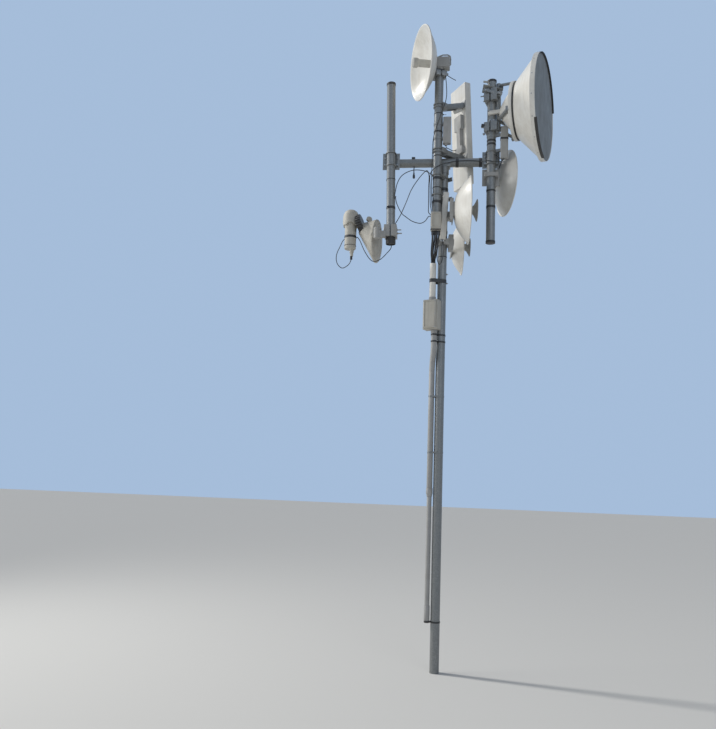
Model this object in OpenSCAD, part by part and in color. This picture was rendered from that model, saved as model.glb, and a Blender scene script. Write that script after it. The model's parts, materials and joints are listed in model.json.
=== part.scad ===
// Small monopole radio relay mast: a galvanised pipe with a crossarm head, three
// antenna poles, five dishes, a horn, a sector panel, radios, boxes, conduits and
// the leads held along them. Millimetres, +Z up, +X along the crossarm.
// The origin is the middle of the mast's foot, at ground level.

/* [Pipes] */
// Outside diameter of every pipe
pipe_d = 76.1; // [72:0.1:80]
// Wall of every pipe
pipe_wall = 3.6; // [2.5:0.1:5]
// Height of the crossarm's centre line above the ground
arm_z = 4310; // [4250:5:4600]
// Reach of the crossarm to the left of the mast
arm_left = 500; // [480:5:560]
// Reach of the crossarm to the right of the mast
arm_right = 436; // [430:5:500]
// Thickness of the clamp plates between crossarm and poles
clamp_plate_t = 8; // [6:1:12]

/* [Poles] */
// Left pole's distance from the mast, at the crossarm
left_pole_x = 466; // [450:1:480]
// Lean of the left pole away from the mast, in degrees
left_pole_lean = 1.45; // [0:0.05:2]
// Right pole's distance from the mast
right_pole_x = 406; // [395:1:412]
// Length of each side pole
side_pole_len = 1475; // [1450:5:1520]
// How far the side poles reach below the crossarm
side_pole_drop = 760; // [750:5:780]
// Upper pole's distance to the left of the mast
upper_pole_x = 57; // [50:1:64]
// Top of the upper pole above the crossarm
upper_pole_rise = 825; // [800:5:860]
// Bottom of the upper pole below the crossarm
upper_pole_drop = 560; // [540:5:600]

/* [Round dish on the upper pole] */
// Diameter of the rim
top_dish_d = 638; // [560:2:680]
// Depth of the bowl
top_dish_depth = 120; // [100:1:130]
// Direction that it faces, seen from above
top_dish_az = 199; // [190:1:210]
// Tilt, negative is down
top_dish_el = -4; // [-8:0.5:0]
// Height of the dish's axis above the pole's top
top_dish_over = 49; // [40:1:60]
// Distance from the pole's axis to the back of the bowl
top_dish_gap = 54; // [54:1:70]
// Diameter of the feed tube
top_feed_d = 67; // [50:1:80]

/* [Deep dish with cover] */
// Diameter of the rim
drum_d = 892; // [840:2:920]
// Depth of the reflector behind the rim band
drum_depth = 346; // [320:2:360]
// Direction that it faces
drum_az = -17; // [-24:1:-8]
// Tilt, negative is down
drum_el = -1.5; // [-4:0.5:0]
// Distance from the pole's axis to the middle of the rim plane
drum_reach = 468; // [460:1:500]
// Height of the dish's axis below the right pole's top
drum_under = 325; // [310:5:340]
// Width of the rim band
drum_band_w = 57; // [40:1:62]
// Crown of the weather cover
drum_crown = 20; // [10:1:30]
// Diameter of the stiffening ring on the back
drum_ring_d = 500; // [460:5:520]
// Thickness of the stiffening ring
drum_ring_t = 28; // [20:1:34]

/* [Lower right dish] */
// Diameter of the rim
low_dish_d = 580; // [540:5:600]
// Depth of the bowl
low_dish_depth = 100; // [90:1:110]
// Direction that it faces
low_dish_az = 14; // [8:1:20]
// Height of its axis below the crossarm
low_dish_z = 159; // [150:1:170]
// Distance of its rim's middle behind the mast's axis
low_dish_y = 95; // [85:1:105]

/* [Stacked dish] */
// Diameter of the rim
stack_d = 580; // [520:2:584]
// Depth of the bowl
stack_depth = 125; // [110:1:126]
// Direction that it faces
stack_az = 3.5; // [0:0.5:6]
// Height of its axis below the crossarm
stack_z = 493; // [486:1:500]
// Distance of its axis in front of the mast
stack_y = 165; // [155:1:180]

/* [Lower dish behind the mast] */
// Diameter of the rim
grid_d = 515; // [480:5:540]
// Depth of the bowl
grid_depth = 100; // [90:1:104]
// Height of its axis below the crossarm
grid_z = 655; // [645:1:665]

/* [Sector panel] */
// Height
sector_h = 968; // [880:4:984]
// Width
sector_w = 241; // [200:1:250]
// Thickness
sector_t = 65; // [55:1:75]
// Direction that it faces
sector_az = 32.5; // [28:0.5:36]
// Lean of its foot away from the mast
sector_lean = 2.4; // [0:0.1:4]

/* [Horn] */
// Height of the mouth
horn_mouth_h = 388; // [364:4:392]
// Width of the mouth
horn_mouth_w = 270; // [240:2:280]
// Diameter of the throat
horn_throat_d = 108; // [96:2:112]
// Diameter of the lock ring
horn_ring_d = 188; // [170:2:192]
// Diameter of the radio's hood
horn_hood_d = 146; // [138:1:150]
// Diameter of the radio's body
horn_body_d = 104; // [94:1:108]

/* [Boxes and conduits] */
// Width of the pull box
pull_box_w = 133; // [120:1:150]
// Height of the pull box
pull_box_h = 256; // [230:2:280]
// Depth of the pull box
pull_box_t = 85; // [80:1:95]
// Height of the pull box's middle above the ground
pull_box_z = 2923; // [2880:1:2960]
// Width of the surge box
surge_box_w = 88; // [84:1:96]
// Height of the surge box
surge_box_h = 162; // [140:1:180]
// Depth of the surge box
surge_box_t = 62; // [50:1:75]
// Outside diameter of the upper conduit
white_d = 54; // [48:1:58]
// Outside diameter of the riser
riser_d = 48; // [44:1:50]
// Outside diameter of the drop conduit
drop_d = 40; // [34:1:42]
// Wall of the conduits
conduit_wall = 2.5; // [2:0.1:3]
// Height where the conduit steps down
reducer_z = 1430; // [1300:10:1600]
// Height of the conduit's open foot above the ground
drop_foot_z = 386; // [300:2:480]

/* [Hidden] */
$fn = 48;

pipe_r = pipe_d / 2;
fit = 0.3; // clearance of a clamp round its pipe
bore_d = pipe_d + 2 * fit;
pole_y = -(pipe_d + clamp_plate_t + 2 * fit);
end_plate_t = 6;
mast_top = arm_z - pipe_r - end_plate_t;
side_pole_top = side_pole_len - side_pole_drop;
rod_d = 10;
nut_d = 18;
nut_h = 9;
shell_t = 3;
far = 600; // longer than anything that it cuts
sit = 0.2; // gap that keeps two faces from sharing a plane

zinc = [0.62, 0.65, 0.67];
white = [0.9, 0.9, 0.88];
beige = [0.78, 0.76, 0.7];
grey = [0.5, 0.52, 0.54];
dark = [0.12, 0.12, 0.13];
pvc = [0.62, 0.63, 0.64];

// a pipe along +Z
module pipe(d, wall, h) {
    difference() {
        cylinder(d = d, h = h);
        translate([0, 0, -1]) cylinder(d = d - 2 * wall, h = h + 2);
    }
}

// a round bar from p to q
module rod(p, q, d) {
    v = q - p;
    translate(p) rotate([0, acos(v[2] / norm(v)), atan2(v[1], v[0])])
        cylinder(d = d, h = norm(v), $fn = 24);
}

// a hexagon nut with its foot at the origin
module nut() {
    cylinder(d = nut_d, h = nut_h, $fn = 6);
}

// a U-bolt round a vertical pole at the origin, legs towards +Y, nuts on a face at y = seat
module u_bolt(leg, seat, around = pipe_d) {
    ring_r = around / 2 + fit + rod_d / 2;
    rotate([0, 0, 180]) rotate_extrude(angle = 180) translate([ring_r, 0]) circle(d = rod_d, $fn = 16);
    for (side = [-1, 1]) translate([side * ring_r, 0, 0]) rotate([-90, 0, 0]) {
        cylinder(d = rod_d, h = leg, $fn = 16);
        translate([0, 0, seat]) nut();
    }
}

// two jaws on a vertical pipe at the origin; the front one reaches to x = front
module pole_clamp(front, w, h, t, bolt_out = 16) {
    gap = 6;
    bolt_y = pipe_r + rod_d / 2 + 4;
    difference() {
        union() {
            translate([gap, -w / 2, -h / 2]) cube([front - gap, w, h]);
            translate([-pipe_r - t, -w / 2, -h / 2]) cube([pipe_r + t - gap, w, h]);
        }
        translate([0, 0, -h]) cylinder(d = bore_d, h = 2 * h);
    }
    for (side = [-1, 1]) translate([-pipe_r - t - bolt_out, side * bolt_y, 0]) rotate([0, 90, 0]) {
        cylinder(d = rod_d, h = pipe_r + t + bolt_out + front - 2, $fn = 16);
        translate([0, 0, bolt_out - nut_h]) nut();
    }
}

// shell of a dish with its rim at x = 0, opening towards +X, round a flat hub
module bowl(r, depth, lip, hub, power = 2, t = shell_t, n = 9) {
    wide = r - lip - hub;
    function inner(i) = [hub + wide * i / n, -depth + depth * pow(i / n, power)];
    rotate([0, 90, 0]) rotate_extrude($fn = 72) polygon(concat(
        [[0, -depth]],
        [for (i = [0:n]) inner(i)],
        [[r, 0], [r, -lip], [r - t, -lip]],
        [for (i = [n:-1:0]) inner(i) - [0, t]],
        [[0, -depth - t]]
    ));
}

// closed feed: a neck on the hub that opens in front of the rim like a trumpet
module flared_feed(depth, neck, mouth, out) {
    straight = out * 0.3;
    flare = out - straight - 6;
    rotate([0, 90, 0]) rotate_extrude() polygon(concat(
        [[0, -depth], [neck / 2, -depth]],
        [for (t = [0:0.125:1]) [neck / 2 + (mouth - neck) / 2 * pow(t, 1.7), straight + flare * t]],
        [[mouth / 2, out - 2], [mouth / 2 - 4, out], [0, out + 1]]
    ));
}

// a smooth line through points
function spline_point(p, i, t) =
    let (n = len(p) - 1,
         a = p[max(i - 1, 0)], b = p[i], c = p[min(i + 1, n)], d = p[min(i + 2, n)])
    0.5 * (2 * b + (c - a) * t + (2 * a - 5 * b + 4 * c - d) * t * t + (3 * b - a - 3 * c + d) * t * t * t);
function spline(p, steps) = concat(
    [for (i = [0:len(p) - 2]) for (k = [0:steps - 1]) spline_point(p, i, k / steps)],
    [p[len(p) - 1]]
);
function unit(v) = v / max(norm(v), 1e-6);

// a closed skin over rings of the same number of points
module skin(rings) {
    m = len(rings[0]);
    n = len(rings);
    polyhedron([for (ring = rings) for (p = ring) p], concat(
        [[for (k = [0:m - 1]) k]],
        [for (i = [0:n - 2]) for (k = [0:m - 1]) let (k2 = (k + 1) % m)
            [i * m + k, (i + 1) * m + k, (i + 1) * m + k2, i * m + k2]],
        [[for (k = [m - 1:-1:0]) (n - 1) * m + k]]
    ), convexity = 6);
}

// a cable along a smooth line
module lead(points, d, steps = 2, sides = 8) {
    line = spline(points, steps);
    n = len(line);
    dirs = [for (i = [0:n - 1]) unit(line[min(i + 1, n - 1)] - line[max(i - 1, 0)])];
    helper = [0.31, 0.95, 0.04];
    us = [for (v = dirs) unit(cross(v, helper))];
    skin([for (i = [0:n - 1]) let (w = cross(dirs[i], us[i]))
        [for (k = [0:sides - 1]) let (a = 360 * k / sides)
        line[i] + d / 2 * (cos(a) * us[i] + sin(a) * w)]]);
}

// a box rounded on its edges along Z
module rounded_box(size, r) {
    linear_extrude(size[2]) {
        square([size[0] - 2 * r, size[1]], center = true);
        square([size[0], size[1] - 2 * r], center = true);
        for (x = [-1, 1]) for (y = [-1, 1])
            translate([x * (size[0] / 2 - r), y * (size[1] / 2 - r)]) circle(r = r, $fn = 24);
    }
}

// Local frames
module at_left_pole() {
    translate([-left_pole_x, pole_y, arm_z]) rotate([0, -left_pole_lean, 0]) children();
}
module at_right_pole() {
    translate([right_pole_x, pole_y, arm_z]) children();
}
module at_upper_pole() {
    translate([-upper_pole_x, pole_y, arm_z]) children();
}

// Structure
module mast_pole() {
    color(zinc) difference() {
        cylinder(d = pipe_d, h = mast_top);
        translate([0, 0, end_plate_t]) cylinder(d = pipe_d - 2 * pipe_wall, h = mast_top);
    }
}

tee_sleeve_t = 5;
tee_sleeve_h = 62;
tee_half = 55;
module mast_head_tee() {
    // a capped sleeve over the mast, with a cradle for the crossarm
    sleeve_d = bore_d + 2 * tee_sleeve_t;
    color(zinc) difference() {
        union() {
            translate([0, 0, mast_top - tee_sleeve_h]) cylinder(d = sleeve_d, h = tee_sleeve_h);
            translate([-tee_half, -sleeve_d / 2, mast_top]) cube([2 * tee_half, sleeve_d, pipe_r * 0.75]);
        }
        translate([0, 0, mast_top - tee_sleeve_h - 1]) cylinder(d = bore_d, h = tee_sleeve_h + 1);
        translate([-2 * tee_half, 0, arm_z]) rotate([0, 90, 0]) cylinder(d = bore_d, h = 4 * tee_half);
    }
}

module crossarm() {
    color(zinc) translate([-arm_left, 0, arm_z]) rotate([0, 90, 0])
        pipe(pipe_d, pipe_wall, arm_left + arm_right);
}

module upper_pole() {
    color(zinc) at_upper_pole() translate([0, 0, -upper_pole_drop])
        pipe(pipe_d, pipe_wall, upper_pole_drop + upper_pole_rise);
}
module left_pole() {
    color(zinc) at_left_pole() translate([0, 0, -side_pole_drop]) pipe(pipe_d, pipe_wall, side_pole_len);
}
module right_pole() {
    color(zinc) at_right_pole() translate([0, 0, -side_pole_drop]) pipe(pipe_d, pipe_wall, side_pole_len);
}

cap_t = 4;
cap_skirt = 16;
cap_wall = 2.5;
module cap() {
    // a moulded cap over the pipe's end, its face towards +Z
    difference() {
        translate([0, 0, -cap_skirt]) cylinder(d = bore_d + 2 * cap_wall, h = cap_skirt + cap_t);
        translate([0, 0, -cap_skirt - 1]) cylinder(d = bore_d, h = cap_skirt + 1);
    }
}
module side_pole_caps() {
    translate([0, 0, -side_pole_drop]) mirror([0, 0, 1]) cap();
    translate([0, 0, side_pole_top]) cap();
}
module pole_caps() {
    color(dark) {
        at_left_pole() side_pole_caps();
        at_right_pole() side_pole_caps();
        at_upper_pole() {
            translate([0, 0, upper_pole_rise]) cap();
            translate([0, 0, -upper_pole_drop]) mirror([0, 0, 1]) cap();
        }
        translate([-arm_left, 0, arm_z]) rotate([0, -90, 0]) cap();
        translate([arm_right, 0, arm_z]) rotate([0, 90, 0]) cap();
    }
}

clamp_plate = 150;
plate_far = pipe_r + fit + clamp_plate_t;
module crossover(lean) {
    // plate between pole and crossarm, two U-bolts round each
    u_gap = pipe_r + rod_d + 8;
    leg = plate_far + 22;
    translate([-clamp_plate / 2, pipe_r + fit, -clamp_plate / 2])
        cube([clamp_plate, clamp_plate_t, clamp_plate]);
    rotate([0, -lean, 0]) for (side = [-1, 1]) translate([0, 0, side * u_gap]) u_bolt(leg, plate_far);
    translate([0, -pole_y, 0]) rotate([0, 90, 0]) rotate([0, 0, 180])
        for (side = [-1, 1]) translate([0, 0, side * u_gap]) u_bolt(leg, plate_far);
}
module crossover_clamps() {
    color(zinc) {
        translate([-left_pole_x, pole_y, arm_z]) crossover(left_pole_lean);
        at_right_pole() crossover(0);
    }
}

pole_pair = norm([upper_pole_x, pole_y]);
module upper_pole_clamps() {
    // long U-bolts round the upper pole, passing both sides of the mast
    side_angle = atan2(-pole_y, upper_pole_x);
    block_w = 56;
    block_h = 44;
    bar_w = 116;
    bar_t = 8;
    bar_h = 36;
    color(zinc) for (z = [-150, -330]) translate([-upper_pole_x, pole_y, arm_z + z])
        rotate([0, 0, side_angle - 90]) {
        u_bolt(pole_pair + pipe_r + 28, pole_pair + pipe_r + fit + bar_t);
        difference() {
            translate([-block_w / 2, 10, -block_h / 2]) cube([block_w, pole_pair - 20, block_h]);
            translate([0, 0, -block_h]) cylinder(d = bore_d, h = 2 * block_h);
            translate([0, pole_pair, -block_h]) cylinder(d = bore_d, h = 2 * block_h);
        }
        translate([-bar_w / 2, pole_pair + pipe_r + fit, -bar_h / 2]) cube([bar_w, bar_t, bar_h]);
    }
}

// Round dish on the upper pole
dish_hub_r = 45;
top_dish_lip = 9;
top_dish_back = top_dish_depth + shell_t;
module at_top_dish() {
    translate([-upper_pole_x, pole_y, arm_z + upper_pole_rise + top_dish_over]) rotate([0, 0, top_dish_az])
        translate([top_dish_gap + top_dish_back, 0, 0]) rotate([0, -top_dish_el, 0]) children();
}
module top_dish() {
    color(white) at_top_dish() bowl(top_dish_d / 2, top_dish_depth, top_dish_lip, dish_hub_r);
}
module top_dish_feed() {
    // a tube with a white end cap that flares a little
    cap_r = top_feed_d / 2 + 9;
    color(grey) at_top_dish() rotate([0, 90, 0]) rotate_extrude() polygon([
        [0, -top_dish_depth], [top_feed_d / 2, -top_dish_depth], [top_feed_d / 2, 22],
        [cap_r, 32], [cap_r, 64], [cap_r - 6, 72], [0, 74]
    ]);
}
module top_dish_mount() {
    plate_t = 8;
    clamp_h = 46;
    clamp_under = cap_skirt + clamp_h / 2 + 4;
    color(zinc) {
        translate([-upper_pole_x, pole_y, arm_z + upper_pole_rise - clamp_under])
            rotate([0, 0, top_dish_az])
            pole_clamp(top_dish_gap - plate_t, 120, clamp_h, 14);
        at_top_dish() {
            translate([-top_dish_back - plate_t, -dish_hub_r, -110]) cube([plate_t, 2 * dish_hub_r, 195]);
            for (side = [-1, 1]) translate([-top_dish_back - plate_t - 7, side * dish_hub_r * 0.7 - 4, -8])
                cube([8, 8, 80]);
        }
    }
}
top_radio_w = 122;
top_radio_t = 84;
top_radio_h = 94;
top_radio_foot = 18;
module top_radio() {
    // a housing with a bent carrying handle over it
    handle_d = 11;
    grip = [[-44, -4], [-38, 24], [-4, 38], [40, 38], [62, 24], [67, -2], [67, -56], [54, -70]];
    grip_from = top_radio_foot + top_radio_h;
    color(grey) translate([-upper_pole_x, pole_y, arm_z + upper_pole_rise + cap_t]) {
        cylinder(d = pipe_d + 6, h = top_radio_foot);
        translate([30, 0, top_radio_foot]) rounded_box([top_radio_w, top_radio_t, top_radio_h], 14);
        for (i = [0:len(grip) - 2]) {
            a = [30 + grip[i][0], 0, grip_from + grip[i][1]];
            b = [30 + grip[i + 1][0], 0, grip_from + grip[i + 1][1]];
            rod(a, b, handle_d);
            translate(b) sphere(d = handle_d, $fn = 24);
        }
    }
}

// Deep dish with cover on the right pole
drum_z = side_pole_top - drum_under;
drum_r = drum_d / 2;
drum_lip = 10;
drum_seat = drum_band_w - drum_lip; // the shell's rim sits inside the band's edge
drum_power = 1.16;
drum_hub_r = 30;
drum_shell_r = drum_r - 4;
module at_drum() {
    translate([right_pole_x, pole_y, arm_z + drum_z]) rotate([0, 0, drum_az])
        translate([drum_reach, 0, 0]) rotate([0, -drum_el, 0]) children();
}
module drum_dish() {
    color(white) at_drum() translate([-drum_seat, 0, 0])
        bowl(drum_shell_r, drum_depth, drum_lip, drum_hub_r, drum_power, shell_t, 12);
}
module drum_cover() {
    // rim band and domed weather cover in one moulding
    wall = 3.4;
    function crown(s) = drum_crown * (1 - s * s);
    color(grey) at_drum() rotate([0, 90, 0]) rotate_extrude($fn = 72) polygon(concat(
        [for (s = [0, 0.25, 0.5, 0.7, 0.85, 0.96]) [drum_r * s, crown(s)]],
        [[drum_r, -6], [drum_r, -drum_band_w], [drum_r - wall, -drum_band_w], [drum_r - wall, -9]],
        [for (s = [0.96, 0.85, 0.7, 0.5, 0.25, 0]) [drum_r * s, crown(s) - wall]]
    ));
}
// how far behind the rim plane the shell's outside lies at a radius
function drum_back(r) = let (s = (r - drum_hub_r) / (drum_shell_r - drum_lip - drum_hub_r))
    drum_seat + drum_depth * (1 - pow(s, drum_power)) + shell_t;
drum_ring_r = drum_ring_d / 2;
gasket_t = 12;
gasket_r = drum_ring_r - 3;
gasket_x = drum_back(gasket_r - 6);
ring_x = gasket_x + gasket_t;
module behind_drum(r_out, x0, x1) {
    // a collar round the shell's cone between two distances behind the rim plane
    rotate([0, 90, 0]) rotate_extrude($fn = 72) polygon(concat(
        [[r_out, -x0], [r_out, -x1]],
        [for (k = [0:4]) let (x = x1 + (x0 - x1) * k / 4) [drum_radius(x) + fit, -x]]
    ));
}
// the shell's outside radius at a distance behind the rim plane
function drum_radius(x) = drum_hub_r + (drum_shell_r - drum_lip - drum_hub_r)
    * pow(1 - (x - drum_seat - shell_t) / drum_depth, 1 / drum_power) + 0.6;
module drum_gasket() {
    color(dark) at_drum() behind_drum(gasket_r, gasket_x, ring_x);
}
module drum_back_ring() {
    color(white) at_drum() behind_drum(drum_ring_r, ring_x, ring_x + drum_ring_t);
}
module drum_mount() {
    high = side_pole_top - 152 - drum_z;
    low = high - 290;
    post_x = 60;
    post_d = 39;
    post_top = drum_ring_r + 24;
    post_foot = low - 30;
    strut_d = 25;
    ring_face = drum_reach - ring_x - drum_ring_t; // distance of the ring's back from the pole's axis
    lug_t = 8;
    lug_r = drum_ring_r - 24;
    color(zinc) at_right_pole() translate([0, 0, drum_z]) rotate([0, 0, drum_az]) {
        translate([0, 0, high]) pole_clamp(post_x, 140, 110, 16, 34);
        translate([0, 0, low]) pole_clamp(post_x, 120, 80, 16, 24);
        translate([post_x, 0, post_foot]) cylinder(d = post_d, h = post_top + strut_d / 2 - post_foot);
        // strut over the top of the ring, with a saddle on it
        rod([post_x, 0, post_top], [ring_face + drum_ring_t / 2, 0, post_top], strut_d);
        difference() {
            translate([ring_face + 2, -18, drum_ring_r - 10]) cube([drum_ring_t - 4, 36, 34]);
            translate([drum_reach, 0, 0]) rotate([0, -drum_el, 0]) translate([-far, 0, 0])
                rotate([0, 90, 0])
                cylinder(r = drum_ring_r + fit, h = far, $fn = 72);
        }
        // two arms from the post to lugs on the ring's back
        for (side = [-1, 1]) {
            drop = 72;
            reach_y = side * sqrt(lug_r * lug_r - drop * drop);
            rod([post_x, side * 6, low + 66], [ring_face - 12, reach_y - side * 4, -drop], 30);
            difference() {
                translate([ring_face - 22, reach_y - 22, -drop - 20]) cube([24, 40, 40]);
                translate([drum_reach, 0, 0]) rotate([0, -drum_el, 0])
                    translate([-drum_reach + ring_face - fit / 2, -far / 2, -far / 2])
                        cube([far, far, far]);
            }
        }
        // height adjuster from the post's foot to the ring's lower edge
        rod([post_x, 14, post_foot + 14], [ring_face - 10, 16, -lug_r], 14);
        rod([post_x + 60, 14.9, -lug_r + 0.56 * (post_foot + 14 + lug_r)],
            [post_x + 110, 15.5, -lug_r + 0.18 * (post_foot + 14 + lug_r)], 26);
        difference() {
            translate([ring_face - 22, -4, -lug_r - 20]) cube([24, 40, 40]);
            translate([drum_reach, 0, 0]) rotate([0, -drum_el, 0])
                translate([-drum_reach + ring_face - fit / 2, -far / 2, -far / 2]) cube([far, far, far]);
        }
    }
}
right_radio = [65, 42, 289];
right_radio_at = [107, -44, -23];
module right_pole_radio() {
    color(grey) at_right_pole() translate(right_radio_at) rounded_box(right_radio, 14);
}

// Lower right dish, behind the right pole
low_dish_back = low_dish_depth + shell_t;
low_dish_x = right_pole_x + 148;
module at_low_dish() {
    translate([low_dish_x, low_dish_y, arm_z - low_dish_z]) rotate([0, 0, low_dish_az]) children();
}
module low_dish() {
    color(white) at_low_dish() bowl(low_dish_d / 2, low_dish_depth, 8, dish_hub_r);
}
module low_dish_feed() {
    neck_r = 28;
    cap_r = 40;
    color(grey) at_low_dish() rotate([0, 90, 0]) rotate_extrude() polygon([
        [0, -low_dish_depth], [neck_r, -low_dish_depth], [neck_r, 10], [cap_r, 24], [cap_r, 56],
        [cap_r - 6, 64], [0, 66]
    ]);
}
module low_dish_mount() {
    jaw_front = pipe_r + 12;
    arm_w = 48;
    arm_h = 60;
    plate = [148, 12, 150];
    hub_t = 12;
    color(grey) {
        at_right_pole() translate([0, 0, -low_dish_z]) {
            rotate([0, 0, 90]) pole_clamp(jaw_front, 118, 34, 10);
            difference() {
                translate([-plate[0] / 2, jaw_front - plate[1], -plate[2] / 2]) cube(plate);
                cylinder(d = bore_d, h = far, center = true);
            }
        }
        difference() {
            translate([low_dish_x - low_dish_back - arm_w - 4, pole_y + jaw_front - 4, arm_z - low_dish_z - arm_h / 2])
                cube([arm_w, low_dish_y - pole_y - jaw_front + 16, arm_h]);
            at_low_dish() translate([-low_dish_back, -far / 2, -far / 2]) cube([far, far, far]);
        }
        at_low_dish() translate([-low_dish_back - hub_t, -50, -50]) cube([hub_t, 100, 100]);
    }
}

// Sector panel behind the crossarm
sector_x = 155;
sector_y = 182;
sector_mid = 320; // its middle above the crossarm
sector_tilt = 1.5;
module at_sector() {
    translate([sector_x, sector_y, arm_z + sector_mid]) rotate([0, 0, sector_az])
        rotate([0, -sector_tilt, 0])
        rotate([-sector_lean, 0, 0]) children();
}
module sector_panel() {
    color(white) at_sector() translate([0, 0, -sector_h / 2])
        rounded_box([sector_t, sector_w, sector_h], 12);
}
sector_arm_az = 42.5;
sector_clamps = [491, 75];
sector_rise = [22, 0]; // slope of each arm towards the panel
sector_lift = [102, 0]; // what that slope lifts at the panel
module sector_brackets() {
    arm_w = 62;
    arm_h = 46;
    wall = 5;
    jaw = 52;
    color(zinc) for (i = [0, 1]) {
        at_upper_pole() translate([0, 0, sector_clamps[i]]) rotate([0, 0, sector_arm_az]) {
            difference() {
                translate([6, -56, -arm_h / 2]) cube([jaw - 6, 112, arm_h]);
                cylinder(d = bore_d, h = 2 * arm_h, center = true);
            }
            for (side = [-1, 1]) translate([0, 0, side * 13]) rotate([0, 0, -90]) u_bolt(jaw + 20, jaw - 0.5);
        }
        difference() {
            union() {
                at_upper_pole() translate([0, 0, sector_clamps[i]]) rotate([0, 0, sector_arm_az])
                    translate([jaw - 4, 0, 0]) rotate([0, -sector_rise[i], 0]) difference() {
                        translate([0, -arm_w / 2, -arm_h / 2]) cube([far, arm_w, arm_h]);
                        translate([34, -arm_w / 2 + wall, -arm_h / 2 - wall])
                            cube([140, arm_w - 2 * wall, arm_h]);
                    }
                at_sector() translate([-sector_t / 2 - 8, -sector_w / 2 + 2,
                    sector_clamps[i] + sector_lift[i] - sector_mid - 32]) cube([8, 120, 64]);
            }
            at_sector() translate([-sector_t / 2, -far, -far]) cube([2 * far, 2 * far, 2 * far]);
        }
    }
}
sector_box_t = 33;
module sector_filter() {
    // box, cable duct and lower box fixed to the panel's back
    color(grey) at_sector() translate([-sector_t / 2 - sector_box_t, 0, 0]) {
        translate([0, -81, 44]) cube([sector_box_t, 104, 134]);
        translate([0, -62, -122]) cube([sector_box_t, 52, 166]);
        translate([0, -84, -187]) cube([sector_box_t, 110, 65]);
        translate([sector_box_t / 2, -30, -219]) cylinder(d = 30, h = 32);
    }
}
sector_radio_size = [70, 50, 243];
sector_radio_x = 20;
module sector_radio() {
    color(grey) translate([sector_radio_x, pole_y - 12, arm_z + 134]) {
        rounded_box(sector_radio_size, 10);
        translate([-8, 0, -16]) cylinder(d = 24, h = 17);
    }
}

// Slim radio, in front of the mast and beside the upper pole's foot
slim_radio_size = [52, 34, 420];
slim_at = [11, -83, 43];
module at_slim() {
    translate([slim_at[0], slim_at[1], arm_z - upper_pole_drop + slim_at[2]]) rotate([0, 3, 0]) children();
}
module slim_radio() {
    color(white) at_slim() translate([0, 0, -slim_radio_size[2] / 2]) rounded_box(slim_radio_size, 12);
}

strap_h = 24;
module radio_strap(reach, w = 22) {
    // a strap round a pole at the origin with a block out to x = reach
    wall = 3;
    translate([0, 0, -strap_h / 2]) pipe(bore_d + 2 * wall, wall, strap_h);
    difference() {
        translate([0, -w / 2, -strap_h / 2]) cube([reach, w, strap_h]);
        cylinder(d = bore_d, h = 2 * strap_h, center = true);
    }
}
module radio_straps() {
    color(zinc) {
        at_upper_pole() for (z = [185, 320]) translate([0, 0, z]) difference() {
            rotate([0, 0, -16]) radio_strap(60);
            translate([upper_pole_x + sector_radio_x - sector_radio_size[0] / 2 - sit, -far / 2, -strap_h])
                cube([far, far, 2 * strap_h]);
        }
        at_right_pole() for (z = [60, 200]) translate([0, 0, z]) difference() {
            rotate([0, 0, -22]) radio_strap(92, 18);
            translate([right_radio_at[0] - right_radio[0] / 2 + sit, -far / 2, -strap_h])
                cube([far, far, 2 * strap_h]);
        }
        difference() {
            for (z = [-640, -395]) translate([0, 0, arm_z + z]) rotate([0, 0, -80]) radio_strap(90, 30);
            at_slim() translate([-far / 2, slim_radio_size[1] / 2 - far, -far]) cube([far, far, 2 * far]);
        }
    }
}

// Stacked dish on the mast's right
dish_axis_x = 212;
module at_stack_mast() {
    translate([0, 0, arm_z - stack_z]) rotate([0, 0, stack_az]) children();
}
module at_stack() {
    at_stack_mast() translate([dish_axis_x, -stack_y, 0]) children();
}
stack_back = dish_axis_x - stack_depth - shell_t;
module stacked_dish() {
    color(white) at_stack() bowl(stack_d / 2, stack_depth, 8, dish_hub_r);
}
module stacked_dish_feed() {
    color(grey) at_stack() flared_feed(stack_depth, 64, 190, 68);
}
module stacked_dish_mount() {
    plate_t = 8;
    front = pipe_r + 14;
    color(grey) at_stack_mast() {
        pole_clamp(front, 120, 50, 14);
        translate([front - 2, -50, -22]) cube([stack_back - front, 100, 44]);
        translate([stack_back - plate_t, -stack_y - dish_hub_r, -60])
            cube([plate_t, stack_y + dish_hub_r + 50, 120]);
        translate([stack_back - plate_t - 28 + 0.01, -stack_y - 48, -92]) cube([28, 94, 184]);
    }
}

// Lower dish behind the mast, set back so far that its rim clears the stacked dish
rim_gap = 6;
rim_apart = (stack_d + grid_d) / 2 + rim_gap;
grid_y = sqrt(pow(rim_apart, 2) - pow(grid_z - stack_z, 2)) - stack_y;
grid_x = 200;
grid_box_drop = 80; // its clamp sits this much lower than its axis
grid_back = grid_x - grid_depth - shell_t;
module at_grid_mast() {
    translate([0, 0, arm_z - grid_z]) rotate([0, 0, stack_az]) children();
}
module at_grid() {
    at_grid_mast() translate([grid_x, grid_y, 0]) children();
}
module grid_dish() {
    color(white) at_grid() bowl(grid_d / 2, grid_depth, 8, dish_hub_r);
}
module grid_dish_feed() {
    color(grey) at_grid() flared_feed(grid_depth, 60, 168, 70);
}
module grid_dish_mount() {
    plate_t = 8;
    front = pipe_r + 14;
    beam_h = 44;
    color(grey) at_grid_mast() {
        translate([0, 0, -grid_box_drop]) {
            pole_clamp(front, 120, 50, 14);
            translate([front - 2, -50, -65]) cube([grid_back - plate_t - front + 4, 100, 130]);
            translate([grid_back - plate_t, -50, -beam_h / 2]) cube([plate_t, grid_y + 90, beam_h]);
        }
        translate([grid_back - plate_t, grid_y - 40, -grid_box_drop]) cube([plate_t, 80, grid_box_drop + 40]);
    }
}

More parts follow.
